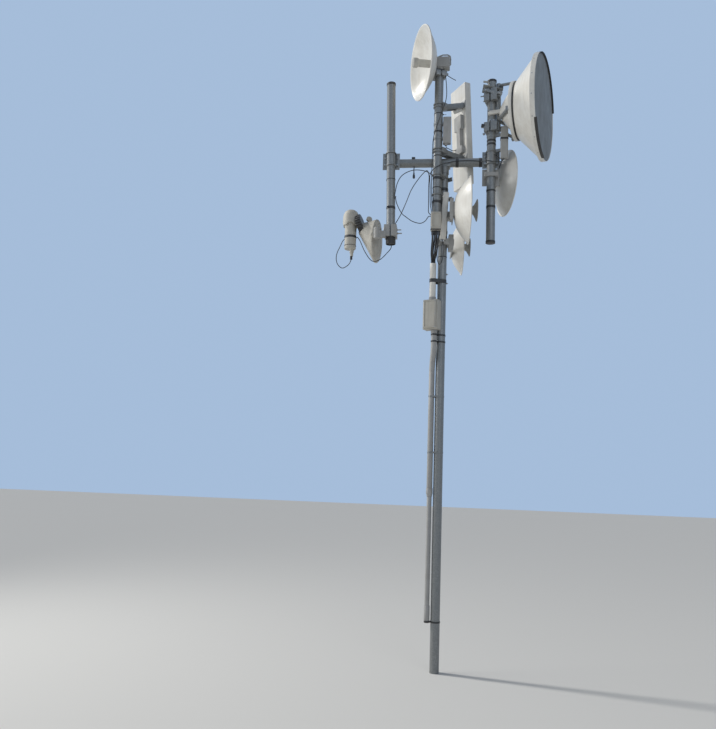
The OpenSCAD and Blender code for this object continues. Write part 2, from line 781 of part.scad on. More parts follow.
// Surge box and glands
surge_z = arm_z - upper_pole_drop - 115;
surge_at = [-upper_pole_x - 2, pole_y - pipe_r - surge_box_t / 2];
gland_x = [-29, -9, 11, 33];
gland_h = 36;
module surge_box() {
    color(beige) translate([surge_at[0], surge_at[1], surge_z]) {
        rounded_box([surge_box_w, surge_box_t, surge_box_h], 6);
        translate([0, -surge_box_t / 2, 8]) rotate([90, 0, 0]) linear_extrude(4)
            translate([0, surge_box_h / 2 - 8]) square([surge_box_w - 16, surge_box_h - 20], center = true);
    }
}
module surge_box_glands() {
    color(dark) for (i = [0:3]) translate([surge_at[0] + gland_x[i], surge_at[1], surge_z - gland_h])
        cylinder(d = i < 3 ? 17 : 13, h = gland_h);
}

// Conduits and boxes down the mast's left
box_bottom = pull_box_z - pull_box_h / 2;
box_top = pull_box_z + pull_box_h / 2;
box_at = [-78, -56];
box_az = 247;
box_normal = [cos(box_az), sin(box_az)];
box_side = [-sin(box_az), cos(box_az)];
riser_low = [-(pipe_r + drop_d / 2 + 11), -6];
riser_high = box_at - 17 * box_normal + 15 * box_side;
white_at = box_at - 14 * box_normal - 5 * box_side;
white_h = 328;
module at_box() {
    translate([box_at[0], box_at[1], 0]) rotate([0, 0, box_az]) children();
}
module pull_box() {
    color(beige) at_box() translate([0, 0, box_bottom])
        rounded_box([pull_box_t, pull_box_w, pull_box_h], 6);
}
module pull_box_lid() {
    lid_t = 10;
    edge = 7;
    color(beige) at_box() translate([pull_box_t / 2, -pull_box_w / 2 + edge, box_bottom + edge])
        cube([lid_t, pull_box_w - 2 * edge, pull_box_h - 2 * edge]);
}
module cable_conduit() {
    color(white) translate([white_at[0], white_at[1], box_top]) pipe(white_d, conduit_wall, white_h);
}

bend_foot = 2440;
bend_rise = 230;
offset_way = riser_high - riser_low;
module bend_skin(d, over) {
    // level rings that step sideways from the lower to the upper line of the riser
    steps = 10;
    sides = 36;
    skin([for (i = [-over:steps + over]) let (t = min(max(i / steps, 0), 1),
        c = riser_low + offset_way * t * t * (3 - 2 * t))
        [for (k = [0:sides - 1]) [c[0] + d / 2 * cos(360 * k / sides), c[1] + d / 2 * sin(360 * k / sides),
            bend_foot + bend_rise * i / steps]]]);
}
module riser_bend() {
    color(pvc) difference() {
        bend_skin(riser_d, 0);
        bend_skin(riser_d - 2 * conduit_wall, 1);
    }
}
module riser_conduit() {
    color(pvc) {
        translate([riser_low[0], riser_low[1], reducer_z])
            pipe(riser_d, conduit_wall, bend_foot - reducer_z);
        translate([riser_high[0], riser_high[1], bend_foot + bend_rise])
            pipe(riser_d, conduit_wall, box_bottom - bend_foot - bend_rise);
    }
}
module drop_conduit() {
    color(pvc) translate([riser_low[0], riser_low[1], drop_foot_z])
        pipe(drop_d, conduit_wall, reducer_z - drop_foot_z);
}
coupling_h = 115;
module conduit_fittings() {
    // reducer, foot coupling and the adapters on the pull box
    color(pvc) {
        translate([riser_low[0], riser_low[1], reducer_z - 34]) difference() {
            union() {
                cylinder(d = drop_d + 7, h = 34);
                translate([0, 0, 20]) cylinder(d = riser_d + 7, h = 48);
            }
            translate([0, 0, -1]) cylinder(d = drop_d, h = 35);
            translate([0, 0, 34]) cylinder(d = riser_d, h = 40);
        }
        translate([riser_low[0], riser_low[1], drop_foot_z + 20]) pipe(drop_d + 7, 3.5, coupling_h);
        translate([riser_high[0], riser_high[1], box_bottom - 26]) pipe(riser_d + 8, 4, 26);
        translate([white_at[0], white_at[1], box_top]) pipe(white_d + 8, 4, 30);
    }
}
module two_way_strap(at, d) {
    // one strap that holds a conduit to the mast
    wall = 2.5;
    h = 14;
    reach = norm(at);
    rotate([0, 0, atan2(at[1], at[0])]) difference() {
        union() {
            cylinder(d = bore_d + 2 * wall, h = h);
            translate([reach, 0, 0]) cylinder(d = d + 2 * fit + 2 * wall, h = h);
            translate([pipe_r, -8, 0]) cube([reach - pipe_r, 16, h]);
        }
        translate([0, 0, -1]) cylinder(d = bore_d, h = h + 2);
        translate([reach, 0, -1]) cylinder(d = d + 2 * fit, h = h + 2);
    }
}
module mast_band() {
    color(dark) {
        translate([0, 0, drop_foot_z + 3]) two_way_strap(riser_low, drop_d);
        for (z = [2690, 2748]) translate([0, 0, z]) two_way_strap(riser_high, riser_d);
    }
}

// Horn on the left pole
horn_y = 30;
ring_tilt = 17;
ring_turn = -9;
horn_ring_at = [-728, horn_y, arm_z - 556];
horn_ring_w = 46;
radio_axis = [-817, horn_y];
hood_top = arm_z - 419;
hood_edge = arm_z - 571;
body_foot = arm_z - 781;
boss_at = [-578, -108, arm_z - 689];
// points of an ellipse round c, in the plane across a direction
function horn_ring(c, az, el, half_w, half_h, m = 40) =
    let (s = [-sin(az), cos(az), 0],
         u = [-sin(el) * cos(az), -sin(el) * sin(az), cos(el)])
    [for (k = [0:m - 1]) c + half_w * cos(360 * k / m) * s + half_h * sin(360 * k / m) * u];
horn_throat_at = [-719, horn_y, arm_z - 588];
horn_mouth_at = [-592, horn_y + 4, arm_z - 706];
horn_mouth_az = -13;
horn_mouth_el = -2;
horn_flat = [cos(horn_mouth_az), sin(horn_mouth_az), 0];
horn_out = cos(horn_mouth_el) * horn_flat + [0, 0, sin(horn_mouth_el)];
module lock_ring_space(extra) {
    translate(horn_ring_at) rotate([0, 0, ring_turn]) rotate([0, 90 - ring_tilt, 0])
        cylinder(d = horn_ring_d + 2 * extra, h = horn_ring_w + 2 * extra, center = true);
}
module hood_space(extra) {
    translate([radio_axis[0], radio_axis[1], hood_edge - 60])
        cylinder(d = horn_hood_d + 2 * extra, h = 240);
}
module horn() {
    w = horn_mouth_w / 2;
    h = horn_mouth_h / 2;
    t = horn_throat_d / 2;
    knob_at = [-652, 8, arm_z - 512];
    color(beige) {
        difference() {
            skin([
                horn_ring(horn_throat_at, -3, -27, t, t),
                horn_ring(horn_mouth_at, horn_mouth_az, horn_mouth_el, w, h),
                horn_ring(horn_mouth_at + 12 * horn_out, horn_mouth_az, horn_mouth_el, w + 3, h + 3),
                horn_ring(horn_mouth_at + 20 * horn_out, horn_mouth_az, horn_mouth_el, w - 3, h - 3),
                horn_ring(horn_mouth_at + 30 * horn_out, horn_mouth_az, horn_mouth_el, w * 0.5, h * 0.5)
            ]);
            lock_ring_space(fit);
            hood_space(fit);
        }
        // boss for the mount, and the sighting knob on top
        translate([boss_at[0] - 14, boss_at[1], boss_at[2]]) rotate([-90, 0, 0]) cylinder(d = 56, h = 70);
        translate(knob_at) rotate([68, 0, 24]) cylinder(d = 50, h = 20, center = true);
        translate(knob_at - [0, -6, 40]) cylinder(d = 24, h = 38);
    }
}
module horn_lock_ring() {
    // a grip ring with ribs that narrow outwards
    ribs = 24;
    outer = horn_ring_d / 2 - 0.5;
    root = outer - 6;
    rib = 360 / ribs;
    function rim_point(r, a) = [r * cos(a), r * sin(a)];
    color(dark) difference() {
        union() {
            translate(horn_ring_at) rotate([0, 0, ring_turn]) rotate([0, 90 - ring_tilt, 0])
                linear_extrude(horn_ring_w, center = true) polygon([for (i = [0:ribs - 1])
                    for (k = [[root, -0.34], [outer, -0.22], [outer, 0.22], [root, 0.34]])
                        rim_point(k[0], rib * (i + k[1]))]);
            translate([radio_axis[0] + 20, horn_y, horn_ring_at[2]]) rotate([0, 90, 0])
                cylinder(d = 90, h = 70);
        }
        hood_space(fit);
    }
}
module horn_radio() {
    body_r = horn_body_d / 2;
    hood_r = horn_hood_d / 2;
    arch_r = 30;
    color(beige) translate([radio_axis[0], radio_axis[1], 0]) {
        rotate_extrude() polygon([
            [0, body_foot], [body_r - 4, body_foot], [body_r - 1, body_foot + 6],
            [body_r, hood_edge + 40], [0, hood_edge + 40]
        ]);
        difference() {
            rotate_extrude() polygon([
                [0, hood_edge + 20], [body_r - 1, hood_edge + 20], [hood_r - 6, hood_edge],
                [hood_r, hood_edge], [hood_r - 2, hood_top - 66],
                [hood_r - 6, hood_top - 44], [hood_r - 18, hood_top - 20], [hood_r - 38, hood_top - 5],
                [0, hood_top]
            ]);
            for (a = [0, 90]) rotate([0, 0, a + 4]) translate([0, 0, hood_edge - 4]) rotate([90, 0, 0])
                cylinder(r = arch_r, h = 2 * hood_r + 4, center = true);
        }
        translate([16, 0, body_foot - 64]) cylinder(d = 28, h = 40);
        translate([16, 0, body_foot - 30]) cylinder(d = 38, h = 30);
    }
}
module horn_mount() {
    clamp_z = -side_pole_drop + 100;
    drum_x = boss_at[0] + 17;
    joint_y = boss_at[1] - 33;
    joint_d = 60;
    joint_h = 92;
    neck_h = 54;
    color(grey) {
        at_left_pole() translate([0, 0, clamp_z]) rotate([0, 0, 180]) {
            pole_clamp(pipe_r + 16, 124, 100, 16, 40);
        }
        difference() {
            translate([drum_x, joint_y - 22, boss_at[2] - neck_h / 2 - 11])
                cube([-left_pole_x - 22 - drum_x, 44, neck_h]);
            at_left_pole() cylinder(d = bore_d, h = 4 * far, center = true);
        }
        translate([drum_x, joint_y, boss_at[2] - joint_h / 2]) cylinder(d = joint_d, h = joint_h);
        translate([drum_x, joint_y, boss_at[2] + joint_h / 2 - 14]) cylinder(d = joint_d + 6, h = 10);
        translate([drum_x - 36, joint_y, boss_at[2] - 24]) cube([46, boss_at[1] - joint_y, 48]);
    }
}

// Cables
module trunk_cables() {
    top = surge_z - gland_h;
    mid = top - 110;
    white_top = box_top + white_h;
    color(dark) for (i = [0:2]) lead([
        [surge_at[0] + gland_x[i], surge_at[1], top],
        [surge_at[0] + gland_x[i], surge_at[1] + 4, top - 40],
        [white_at[0] + (i - 1) * 16 - 2, surge_at[1] + 62, mid - 26],
        [white_at[0] + (i - 1) * 14, white_at[1] - 3, white_top + 24],
        [white_at[0] + (i - 1) * 13, white_at[1], white_top - 40]
    ], 11);
}
module patch_leads() {
    d = 7;
    box_roof = surge_z + surge_box_h;
    radio_foot = arm_z - 23;
    color(dark) {
        // feeder of the top radio, down the upper pole
        lead([
            [-22, -100, arm_z + 846], [-2, -118, arm_z + 758], [11, -122, arm_z + 607],
            [4, -134, arm_z + 515],
            [-11, -136, arm_z + 467], [-41, -133, arm_z + 377], [-78, -130, arm_z + 259],
            [-98, -126, arm_z + 160],
            [-101, -128, arm_z + 75], [-104, -110, arm_z - 64], [-105, -109, arm_z - 155],
            [-105, -110, arm_z - 265],
            [-99, -120, arm_z - 409], [-92, -142, arm_z - 468], [surge_at[0] - 28, surge_at[1], box_roof]
        ], d);
        // lead along the crossarm, from the right pole's radio to the surge box
        lead([
            [right_pole_x + right_radio_at[0], pole_y + right_radio_at[1], radio_foot],
            [480, -135, arm_z - 52],
            [430, -143, arm_z - 56], [385, -142, arm_z - 46], [350, -122, arm_z - 36],
            [338, -84, arm_z - 24],
            [318, -50, arm_z - 11], [268, -45, arm_z - 2], [181, -45, arm_z + 1], [94, -45, arm_z - 4],
            [34, -62, arm_z - 24],
            [-8, -112, arm_z - 56], [-40, -135, arm_z - 78], [-82, -132, arm_z - 104],
            [-119, -110, arm_z - 150],
            [-117, -104, arm_z - 265], [-112, -118, arm_z - 409], [-104, -142, arm_z - 468],
            [surge_at[0] - 38, surge_at[1] + 6, box_roof]
        ], d);
        // from the surge box to the left pole, down it, and on to the horn's radio
        lead([
            [surge_at[0] - surge_box_w / 2, surge_at[1], surge_z + 130], [-124, -150, surge_z + 128],
            [-153, -132, arm_z - 580],
            [-196, -120, arm_z - 595], [-260, -120, arm_z - 578], [-311, -120, arm_z - 543],
            [-358, -118, arm_z - 501],
            [-400, -112, arm_z - 418],
            [-414, -98, arm_z - 360], [-417, -64, arm_z - 330], [-446, -38, arm_z - 360],
            [-452, -40, arm_z - 480], [-448, -24, arm_z - 580], [-446, -14, arm_z - 660],
            [-446, -30, arm_z - 740], [-446, -44, arm_z - 790], [-471, -50, arm_z - 829],
            [-538, -50, arm_z - 897], [-608, -50, arm_z - 910], [-672, -44, arm_z - 829],
            [-722, -20, arm_z - 722], [-752, 30, arm_z - 672], [-764, 70, arm_z - 660],
            [-806, 92, arm_z - 658], [-858, 78, arm_z - 664], [-884, 44, arm_z - 696],
            [-905, 25, arm_z - 754], [-928, 20, arm_z - 812], [-936, 20, arm_z - 856],
            [-931, 20, arm_z - 896], [-911, 20, arm_z - 934], [-874, 20, arm_z - 955],
            [-827, 22, arm_z - 926], [-807, 28, arm_z - 888],
            [radio_axis[0] + 16, horn_y, body_foot - 64]
        ], d);
        // from the surge box up beside the upper pole, and across to the left pole
        lead([
            [surge_at[0] - surge_box_w / 2, surge_at[1] + 16, surge_z + 148], [-124, -130, arm_z - 500],
            [-126, -116, arm_z - 440],
            [-129, -98, arm_z - 265], [-128, -96, arm_z - 160], [-144, -90, arm_z - 108],
            [-172, -80, arm_z - 118],
            [-225, -68, arm_z - 179], [-281, -64, arm_z - 270], [-318, -62, arm_z - 368],
            [-362, -60, arm_z - 480],
            [-396, -56, arm_z - 545], [-418, -48, arm_z - 580], [-428, -42, arm_z - 606]
        ], d);
        // loop in front of the mast, from the slim radio to the surge box
        lead([
            [slim_at[0] - 10, slim_at[1], arm_z - 727], [10, -92, arm_z - 780], [10, -112, arm_z - 855],
            [-2, -120, arm_z - 928],
            [-20, -122, arm_z - 960], [-38, -124, arm_z - 932], [-44, -130, arm_z - 873],
            [-34, -144, arm_z - 764],
            [surge_at[0] + gland_x[3], surge_at[1], surge_z - gland_h]
        ], d);
        // jumper from the sector radio to the lower box
        lead([
            [12, pole_y - 12, arm_z + 118], [20, -86, arm_z + 104], [44, -50, arm_z + 106],
            [72, 10, arm_z + 118],
            [95, 76, arm_z + 150], [104, 106, arm_z + 160]
        ], d);
    }
}

mast_pole();
mast_head_tee();
crossarm();
upper_pole();
left_pole();
right_pole();
pole_caps();
crossover_clamps();
upper_pole_clamps();
top_dish();
top_dish_feed();
top_dish_mount();
top_radio();
drum_dish();
drum_cover();
drum_gasket();
drum_back_ring();
drum_mount();
right_pole_radio();
low_dish();
low_dish_feed();
low_dish_mount();
sector_panel();
sector_brackets();
sector_filter();
sector_radio();
radio_straps();
stacked_dish();
stacked_dish_feed();
stacked_dish_mount();
grid_dish();
grid_dish_feed();
grid_dish_mount();
slim_radio();
surge_box();
surge_box_glands();
cable_conduit();
pull_box();
pull_box_lid();
riser_conduit();
riser_bend();
drop_conduit();
conduit_fittings();
mast_band();
horn();
horn_lock_ring();
horn_radio();
horn_mount();
trunk_cables();
patch_leads();
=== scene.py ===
# %% [markdown]
# A small radio relay mast: one galvanised pipe with a crossarm head that carries dishes, a horn,
# a sector panel, radios, boxes and cables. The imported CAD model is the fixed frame, so every piece
# made here is in metres, in the same place as in the CAD.

# %% Load the frame
import json
import math

import bpy
from mathutils import Matrix, Vector


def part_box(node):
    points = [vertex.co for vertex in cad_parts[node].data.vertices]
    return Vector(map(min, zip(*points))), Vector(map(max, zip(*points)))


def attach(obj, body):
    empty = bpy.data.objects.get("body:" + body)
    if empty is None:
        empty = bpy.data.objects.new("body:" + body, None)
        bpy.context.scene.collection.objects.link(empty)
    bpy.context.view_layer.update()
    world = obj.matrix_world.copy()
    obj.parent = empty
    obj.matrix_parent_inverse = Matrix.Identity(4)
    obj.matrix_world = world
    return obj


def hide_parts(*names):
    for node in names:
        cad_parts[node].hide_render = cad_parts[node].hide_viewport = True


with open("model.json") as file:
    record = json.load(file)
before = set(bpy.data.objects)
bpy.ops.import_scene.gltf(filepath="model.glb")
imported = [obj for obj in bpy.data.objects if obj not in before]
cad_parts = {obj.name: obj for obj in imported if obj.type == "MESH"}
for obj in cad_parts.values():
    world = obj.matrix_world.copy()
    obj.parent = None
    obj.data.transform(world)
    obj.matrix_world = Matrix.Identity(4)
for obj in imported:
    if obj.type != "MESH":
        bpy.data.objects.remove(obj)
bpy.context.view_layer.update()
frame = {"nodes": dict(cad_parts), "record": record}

nodes = frame["nodes"]

# %% [markdown]
# The camera stands at eye height, about six metres in front of the mast and almost in line with it,
# tilted up a little and rolled two degrees, as the mast leans in the picture. Its three axes are
# worked out from yaw, pitch and roll and written into the camera's matrix. The focal length was solved
# in pixels of the picture's longer side, so it is turned into a lens in millimetres.

# %% Camera
eye = Vector((0.0632, -6.2734, 1.5899))
yaw = math.radians(6.977)
pitch = math.radians(8.131)
roll = math.radians(2.055)
sensor_mm = 36.0
focal_px = 740.0
picture_px = 729.0
far_away_m = 200.0
forward = Vector((-math.sin(yaw) * math.cos(pitch), math.cos(yaw) * math.cos(pitch), math.sin(pitch)))
level_right = Vector((math.cos(yaw), math.sin(yaw), 0.0))
level_up = level_right.cross(forward)
right = level_right * math.cos(roll) + level_up * math.sin(roll)
up = level_up * math.cos(roll) - level_right * math.sin(roll)
camera_data = bpy.data.cameras.new("camera")
camera_data.sensor_width = sensor_mm
camera_data.lens = sensor_mm * focal_px / picture_px
camera_data.clip_end = far_away_m
camera = bpy.data.objects.new("camera", camera_data)
bpy.context.scene.collection.objects.link(camera)
camera.matrix_world = Matrix((
    (right.x, up.x, -forward.x, eye.x),
    (right.y, up.y, -forward.y, eye.y),
    (right.z, up.z, -forward.z, eye.z),
    (0.0, 0.0, 0.0, 1.0),
))
bpy.context.scene.camera = camera
print("camera at", tuple(eye), "lens", round(camera_data.lens, 2))

# %% [markdown]
# Outdoors the light comes from the left and a little from behind the mast, so every pipe has a bright
# strip on its left. A soft sun lamp from that side models the dishes, and a wide soft box beside it
# draws the bright strips on the metal. A large soft lamp and a weak sky fill the front. The camera and
# the reflections see a plain pale blue instead of that weak sky.

# %% Light, floor and background
scene = bpy.context.scene
scene.view_settings.view_transform = "Standard"
backdrop_colour = (0.38, 0.51, 0.70, 1.0)
world = bpy.data.worlds.new("studio")
scene.world = world
world.use_nodes = True
tree = world.node_tree
tree.nodes.clear()
out = tree.nodes.new("ShaderNodeOutputWorld")
mix = tree.nodes.new("ShaderNodeMixShader")
fill = tree.nodes.new("ShaderNodeBackground")
seen = tree.nodes.new("ShaderNodeBackground")
path = tree.nodes.new("ShaderNodeLightPath")
fill.inputs["Color"].default_value = (0.80, 0.88, 1.0, 1.0)
fill.inputs["Strength"].default_value = 0.25
seen.inputs["Color"].default_value = backdrop_colour
seen.inputs["Strength"].default_value = 1.0
most = tree.nodes.new("ShaderNodeMath")
most.operation = "MAXIMUM"
tree.links.new(path.outputs["Is Camera Ray"], most.inputs[0])
tree.links.new(path.outputs["Is Glossy Ray"], most.inputs[1])
tree.links.new(most.outputs[0], mix.inputs["Fac"])
tree.links.new(fill.outputs[0], mix.inputs[1])
tree.links.new(seen.outputs[0], mix.inputs[2])
tree.links.new(mix.outputs[0], out.inputs["Surface"])


def soft_lamp(name, place, target, width, height, power, colour):
    data = bpy.data.lights.new(name, "AREA")
    data.shape = "RECTANGLE"
    data.size = width
    data.size_y = height
    data.energy = power
    data.color = colour
    lamp = bpy.data.objects.new(name, data)
    scene.collection.objects.link(lamp)
    lamp.location = place
    lamp.rotation_euler = (Vector(target) - Vector(place)).to_track_quat("-Z", "Y").to_euler()


sun_turn = math.radians(168.0)
sun_height = math.radians(44.0)
sun_side = Vector((
    math.cos(sun_height) * math.cos(sun_turn),
    math.cos(sun_height) * math.sin(sun_turn),
    math.sin(sun_height)))
sun_data = bpy.data.lights.new("key", "SUN")
sun_data.energy = 1.65
sun_data.angle = math.radians(5.0)
sun_data.color = (1.0, 0.965, 0.90)
sun = bpy.data.objects.new("key", sun_data)
scene.collection.objects.link(sun)
sun.location = sun_side * 12.0
sun.rotation_euler = (-sun_side).to_track_quat("-Z", "Y").to_euler()
warm = (1.0, 0.97, 0.91)
cool = (0.93, 0.96, 1.0)
soft_lamp("strip_box", (-6.5, -0.6, 4.3), (0.0, 0.0, 4.3), 4.0, 3.4, 200.0, warm)
soft_lamp("front_fill", (5.0, -11.0, 7.0), (0.0, 0.0, 3.0), 6.0, 6.0, 160.0, cool)

bpy.ops.mesh.primitive_plane_add(size=60.0, location=(0.0, 0.0, 0.0))
floor = bpy.context.object
floor.name = "floor"
floor_material = bpy.data.materials.new("pale_floor")
floor_material.use_nodes = True
floor_shader = floor_material.node_tree.nodes["Principled BSDF"]
floor_shader.inputs["Base Color"].default_value = (0.70, 0.70, 0.69, 1.0)
floor_shader.inputs["Roughness"].default_value = 0.9
floor.data.materials.append(floor_material)

# %% [markdown]
# Everything on the mast has stood in the rain for years, so all its finishes share the same marks:
# thin streaks that run down, cloudy blotches, a fine grain and dust that settles on upward faces.
# They are made once, as node groups that give out only masks, and each finish uses them its own way.

# %% Node groups for weather


def new_group(name, outputs):
    group = bpy.data.node_groups.new(name, "ShaderNodeTree")
    socket = group.interface.new_socket(name="Fineness", in_out="INPUT", socket_type="NodeSocketFloat")
    socket.default_value = 1.0
    for label in outputs:
        group.interface.new_socket(name=label, in_out="OUTPUT", socket_type="NodeSocketFloat")
    return group, group.nodes.new("NodeGroupInput"), group.nodes.new("NodeGroupOutput")


def ramped(tree, socket, low, high):
    node = tree.nodes.new("ShaderNodeMapRange")
    node.inputs["From Min"].default_value = low
    node.inputs["From Max"].default_value = high
    tree.links.new(socket, node.inputs["Value"])
    return node.outputs["Result"]


def noise_at(tree, stretch, fineness, scale, detail=3.0):
    coordinates = tree.nodes.new("ShaderNodeTexCoord")
    mapping = tree.nodes.new("ShaderNodeMapping")
    mapping.inputs["Scale"].default_value = stretch
    enlarge = tree.nodes.new("ShaderNodeVectorMath")
    enlarge.operation = "SCALE"
    noise = tree.nodes.new("ShaderNodeTexNoise")
    noise.inputs["Scale"].default_value = scale
    noise.inputs["Detail"].default_value = detail
    noise.inputs["Roughness"].default_value = 0.6
    tree.links.new(coordinates.outputs["Object"], mapping.inputs["Vector"])
    tree.links.new(mapping.outputs["Vector"], enlarge.inputs[0])
    tree.links.new(fineness, enlarge.inputs["Scale"])
    tree.links.new(enlarge.outputs[0], noise.inputs["Vector"])
    return noise.outputs["Fac"]


def times(tree, first, second):
    node = tree.nodes.new("ShaderNodeMath")
    node.operation = "MULTIPLY"
    for slot_number, value in enumerate((first, second)):
        if isinstance(value, float):
            node.inputs[slot_number].default_value = value
        else:
            tree.links.new(value, node.inputs[slot_number])
    return node.outputs[0]


weather, entry, leave = new_group("weather_marks", ["Streaks", "Blotches", "Grain", "Dust"])
fineness = entry.outputs["Fineness"]
streaks = ramped(weather, noise_at(weather, (1.0, 1.0, 0.035), fineness, 46.0), 0.50, 0.78)
blotches = ramped(weather, noise_at(weather, (1.0, 1.0, 0.7), fineness, 11.0, 5.0), 0.36, 0.68)
grain = noise_at(weather, (1.0, 1.0, 1.0), fineness, 420.0, 2.0)
facing = weather.nodes.new("ShaderNodeNewGeometry")
split = weather.nodes.new("ShaderNodeSeparateXYZ")
weather.links.new(facing.outputs["Normal"], split.inputs[0])
dust = times(weather, ramped(weather, split.outputs["Z"], 0.15, 0.95), ramped(weather, blotches, -0.7, 1.0))
for label, mark in (("Streaks", streaks), ("Blotches", blotches), ("Grain", grain), ("Dust", dust)):
    weather.links.new(mark, leave.inputs[label])

crystals_per_metre = 210.0
crystals, entry, leave = new_group("zinc_crystals", ["Crystals", "Relief"])
coordinates = crystals.nodes.new("ShaderNodeTexCoord")
cells = crystals.nodes.new("ShaderNodeTexVoronoi")
channels = crystals.nodes.new("ShaderNodeSeparateColor")
crystals.links.new(coordinates.outputs["Object"], cells.inputs["Vector"])
crystals.links.new(times(crystals, entry.outputs["Fineness"], crystals_per_metre), cells.inputs["Scale"])
crystals.links.new(cells.outputs["Color"], channels.inputs[0])
crystals.links.new(channels.outputs[0], leave.inputs["Crystals"])
crystals.links.new(cells.outputs["Distance"], leave.inputs["Relief"])
print("groups:", [group.name for group in bpy.data.node_groups])

# %% [markdown]
# A finish is one Principled shader with the marks laid over its colour. The helper takes the plain
# colour, how dirty and dusty it is and how rough, so that white paint, grey housings, conduit and
# black plastic differ only in their values. The Mix node has three sockets of each name, one for each
# kind of data, so its colour sockets are reached by their numbers.

# %% Finishes with weather on them
mix_factor = 0
mix_under = 6
mix_over = 7
mix_result = 2
road_dust = (0.50, 0.46, 0.40)
grain_relief_m = 0.0006
crystal_relief_m = 0.0015
finishes = {}


def group_node(tree, group, fineness_value):
    node = tree.nodes.new("ShaderNodeGroup")
    node.node_tree = group
    node.inputs["Fineness"].default_value = fineness_value
    return node


def laid_over(tree, under, over, mask):
    node = tree.nodes.new("ShaderNodeMix")
    node.data_type = "RGBA"
    tree.links.new(mask, node.inputs[mix_factor])
    for number, colour in ((mix_under, under), (mix_over, over)):
        if isinstance(colour, tuple):
            node.inputs[number].default_value = colour + (1.0,)
        else:
            tree.links.new(colour, node.inputs[number])
    return node.outputs[mix_result]


def bumped(tree, height, strength, distance, shader):
    node = tree.nodes.new("ShaderNodeBump")
    node.inputs["Strength"].default_value = strength
    node.inputs["Distance"].default_value = distance
    tree.links.new(height, node.inputs["Height"])
    tree.links.new(node.outputs["Normal"], shader.inputs["Normal"])


def roughened(tree, mask, rough, shader):
    span = tree.nodes.new("ShaderNodeMapRange")
    span.inputs["To Min"].default_value = rough[0]
    span.inputs["To Max"].default_value = rough[1]
    tree.links.new(mask, span.inputs["Value"])
    tree.links.new(span.outputs["Result"], shader.inputs["Roughness"])


def new_finish(name, plain_colour):
    finish = bpy.data.materials.new(name)
    finish.use_nodes = True
    finish.diffuse_color = plain_colour + (1.0,)
    finishes[name] = finish
    return finish.node_tree, finish.node_tree.nodes["Principled BSDF"]


def weathered(name, colour, dirt, dirt_amount, streak_amount, dust_amount, rough, fineness_value=1.0,
              bump=0.15, coat=0.0):
    tree, shader = new_finish(name, colour)
    marks = group_node(tree, weather, fineness_value)
    base = laid_over(tree, colour, dirt, times(tree, marks.outputs["Blotches"], dirt_amount))
    base = laid_over(tree, base, dirt, times(tree, marks.outputs["Streaks"], streak_amount))
    base = laid_over(tree, base, road_dust, times(tree, marks.outputs["Dust"], dust_amount))
    tree.links.new(base, shader.inputs["Base Color"])
    roughened(tree, marks.outputs["Blotches"], rough, shader)
    shader.inputs["Coat Weight"].default_value = coat
    shader.inputs["Coat Roughness"].default_value = 0.25
    bumped(tree, marks.outputs["Grain"], bump, grain_relief_m, shader)


weathered("dish_white", (0.78, 0.775, 0.74), (0.50, 0.47, 0.41), 0.30, 0.34, 0.30, (0.36, 0.55), coat=0.15)
weathered("grid_paint", (0.74, 0.735, 0.70), (0.46, 0.43, 0.38), 0.30, 0.32, 0.30, (0.38, 0.56))
weathered("cover_grey", (0.215, 0.225, 0.225), (0.15, 0.155, 0.15), 0.40, 0.30, 0.25, (0.50, 0.66))
weathered("radio_grey", (0.40, 0.405, 0.40), (0.25, 0.245, 0.23), 0.40, 0.30, 0.30, (0.45, 0.62), 1.6)
weathered("feed_grey", (0.44, 0.44, 0.42), (0.27, 0.26, 0.24), 0.40, 0.20, 0.30, (0.42, 0.58), 1.6)
weathered("box_beige", (0.52, 0.505, 0.455), (0.34, 0.32, 0.28), 0.40, 0.40, 0.30, (0.48, 0.66), 1.4)
weathered("conduit_grey", (0.40, 0.405, 0.405), (0.27, 0.265, 0.255), 0.40, 0.45, 0.15, (0.42, 0.60), 1.3)
weathered("black_plastic", (0.028, 0.028, 0.030), (0.075, 0.072, 0.068), 0.45, 0.30, 0.35, (0.40, 0.60),
          2.0)
weathered("cable_black", (0.022, 0.022, 0.024), (0.07, 0.068, 0.065), 0.40, 0.20, 0.35, (0.36, 0.52), 3.0,
          bump=0.08)
print("finishes with weather:", len(finishes))

# %% [markdown]
# Hot-dip galvanised pipe shows pale zinc crystals a few millimetres wide. They dull to a blotchy
# grey, and whitish salts run down from the clamps. The crystals change both colour and relief.

# %% Galvanised steel
white_salts = (0.30, 0.30, 0.29)
zinc_dust = (0.30, 0.28, 0.25)


def galvanised(name, dark, light, metallic, rough, crystal_fineness=1.0):
    tree, shader = new_finish(name, light)
    shader.inputs["Metallic"].default_value = metallic
    marks = group_node(tree, weather, 1.2)
    zinc = group_node(tree, crystals, crystal_fineness)
    base = laid_over(tree, dark, light, zinc.outputs["Crystals"])
    base = laid_over(tree, base, dark, times(tree, marks.outputs["Blotches"], 0.45))
    base = laid_over(tree, base, white_salts, times(tree, marks.outputs["Streaks"], 0.22))
    base = laid_over(tree, base, zinc_dust, times(tree, marks.outputs["Dust"], 0.35))
    tree.links.new(base, shader.inputs["Base Color"])
    roughened(tree, marks.outputs["Blotches"], rough, shader)
    bumped(tree, zinc.outputs["Relief"], 0.10, crystal_relief_m, shader)


galvanised("galvanised", (0.200, 0.210, 0.212), (0.30, 0.31, 0.308), 0.34, (0.38, 0.48))
galvanised("bright_zinc", (0.30, 0.31, 0.32), (0.52, 0.53, 0.53), 0.80, (0.28, 0.42), 2.0)
print("finishes:", sorted(finishes))

# %% [markdown]
# The rigid CAD nodes already have the right shape. Each gets a copy whose loose triangles are merged
# into clean faces, a small rounding on the edges that catches the light, and smooth shading. The
# slot in the record says which finish a node takes.

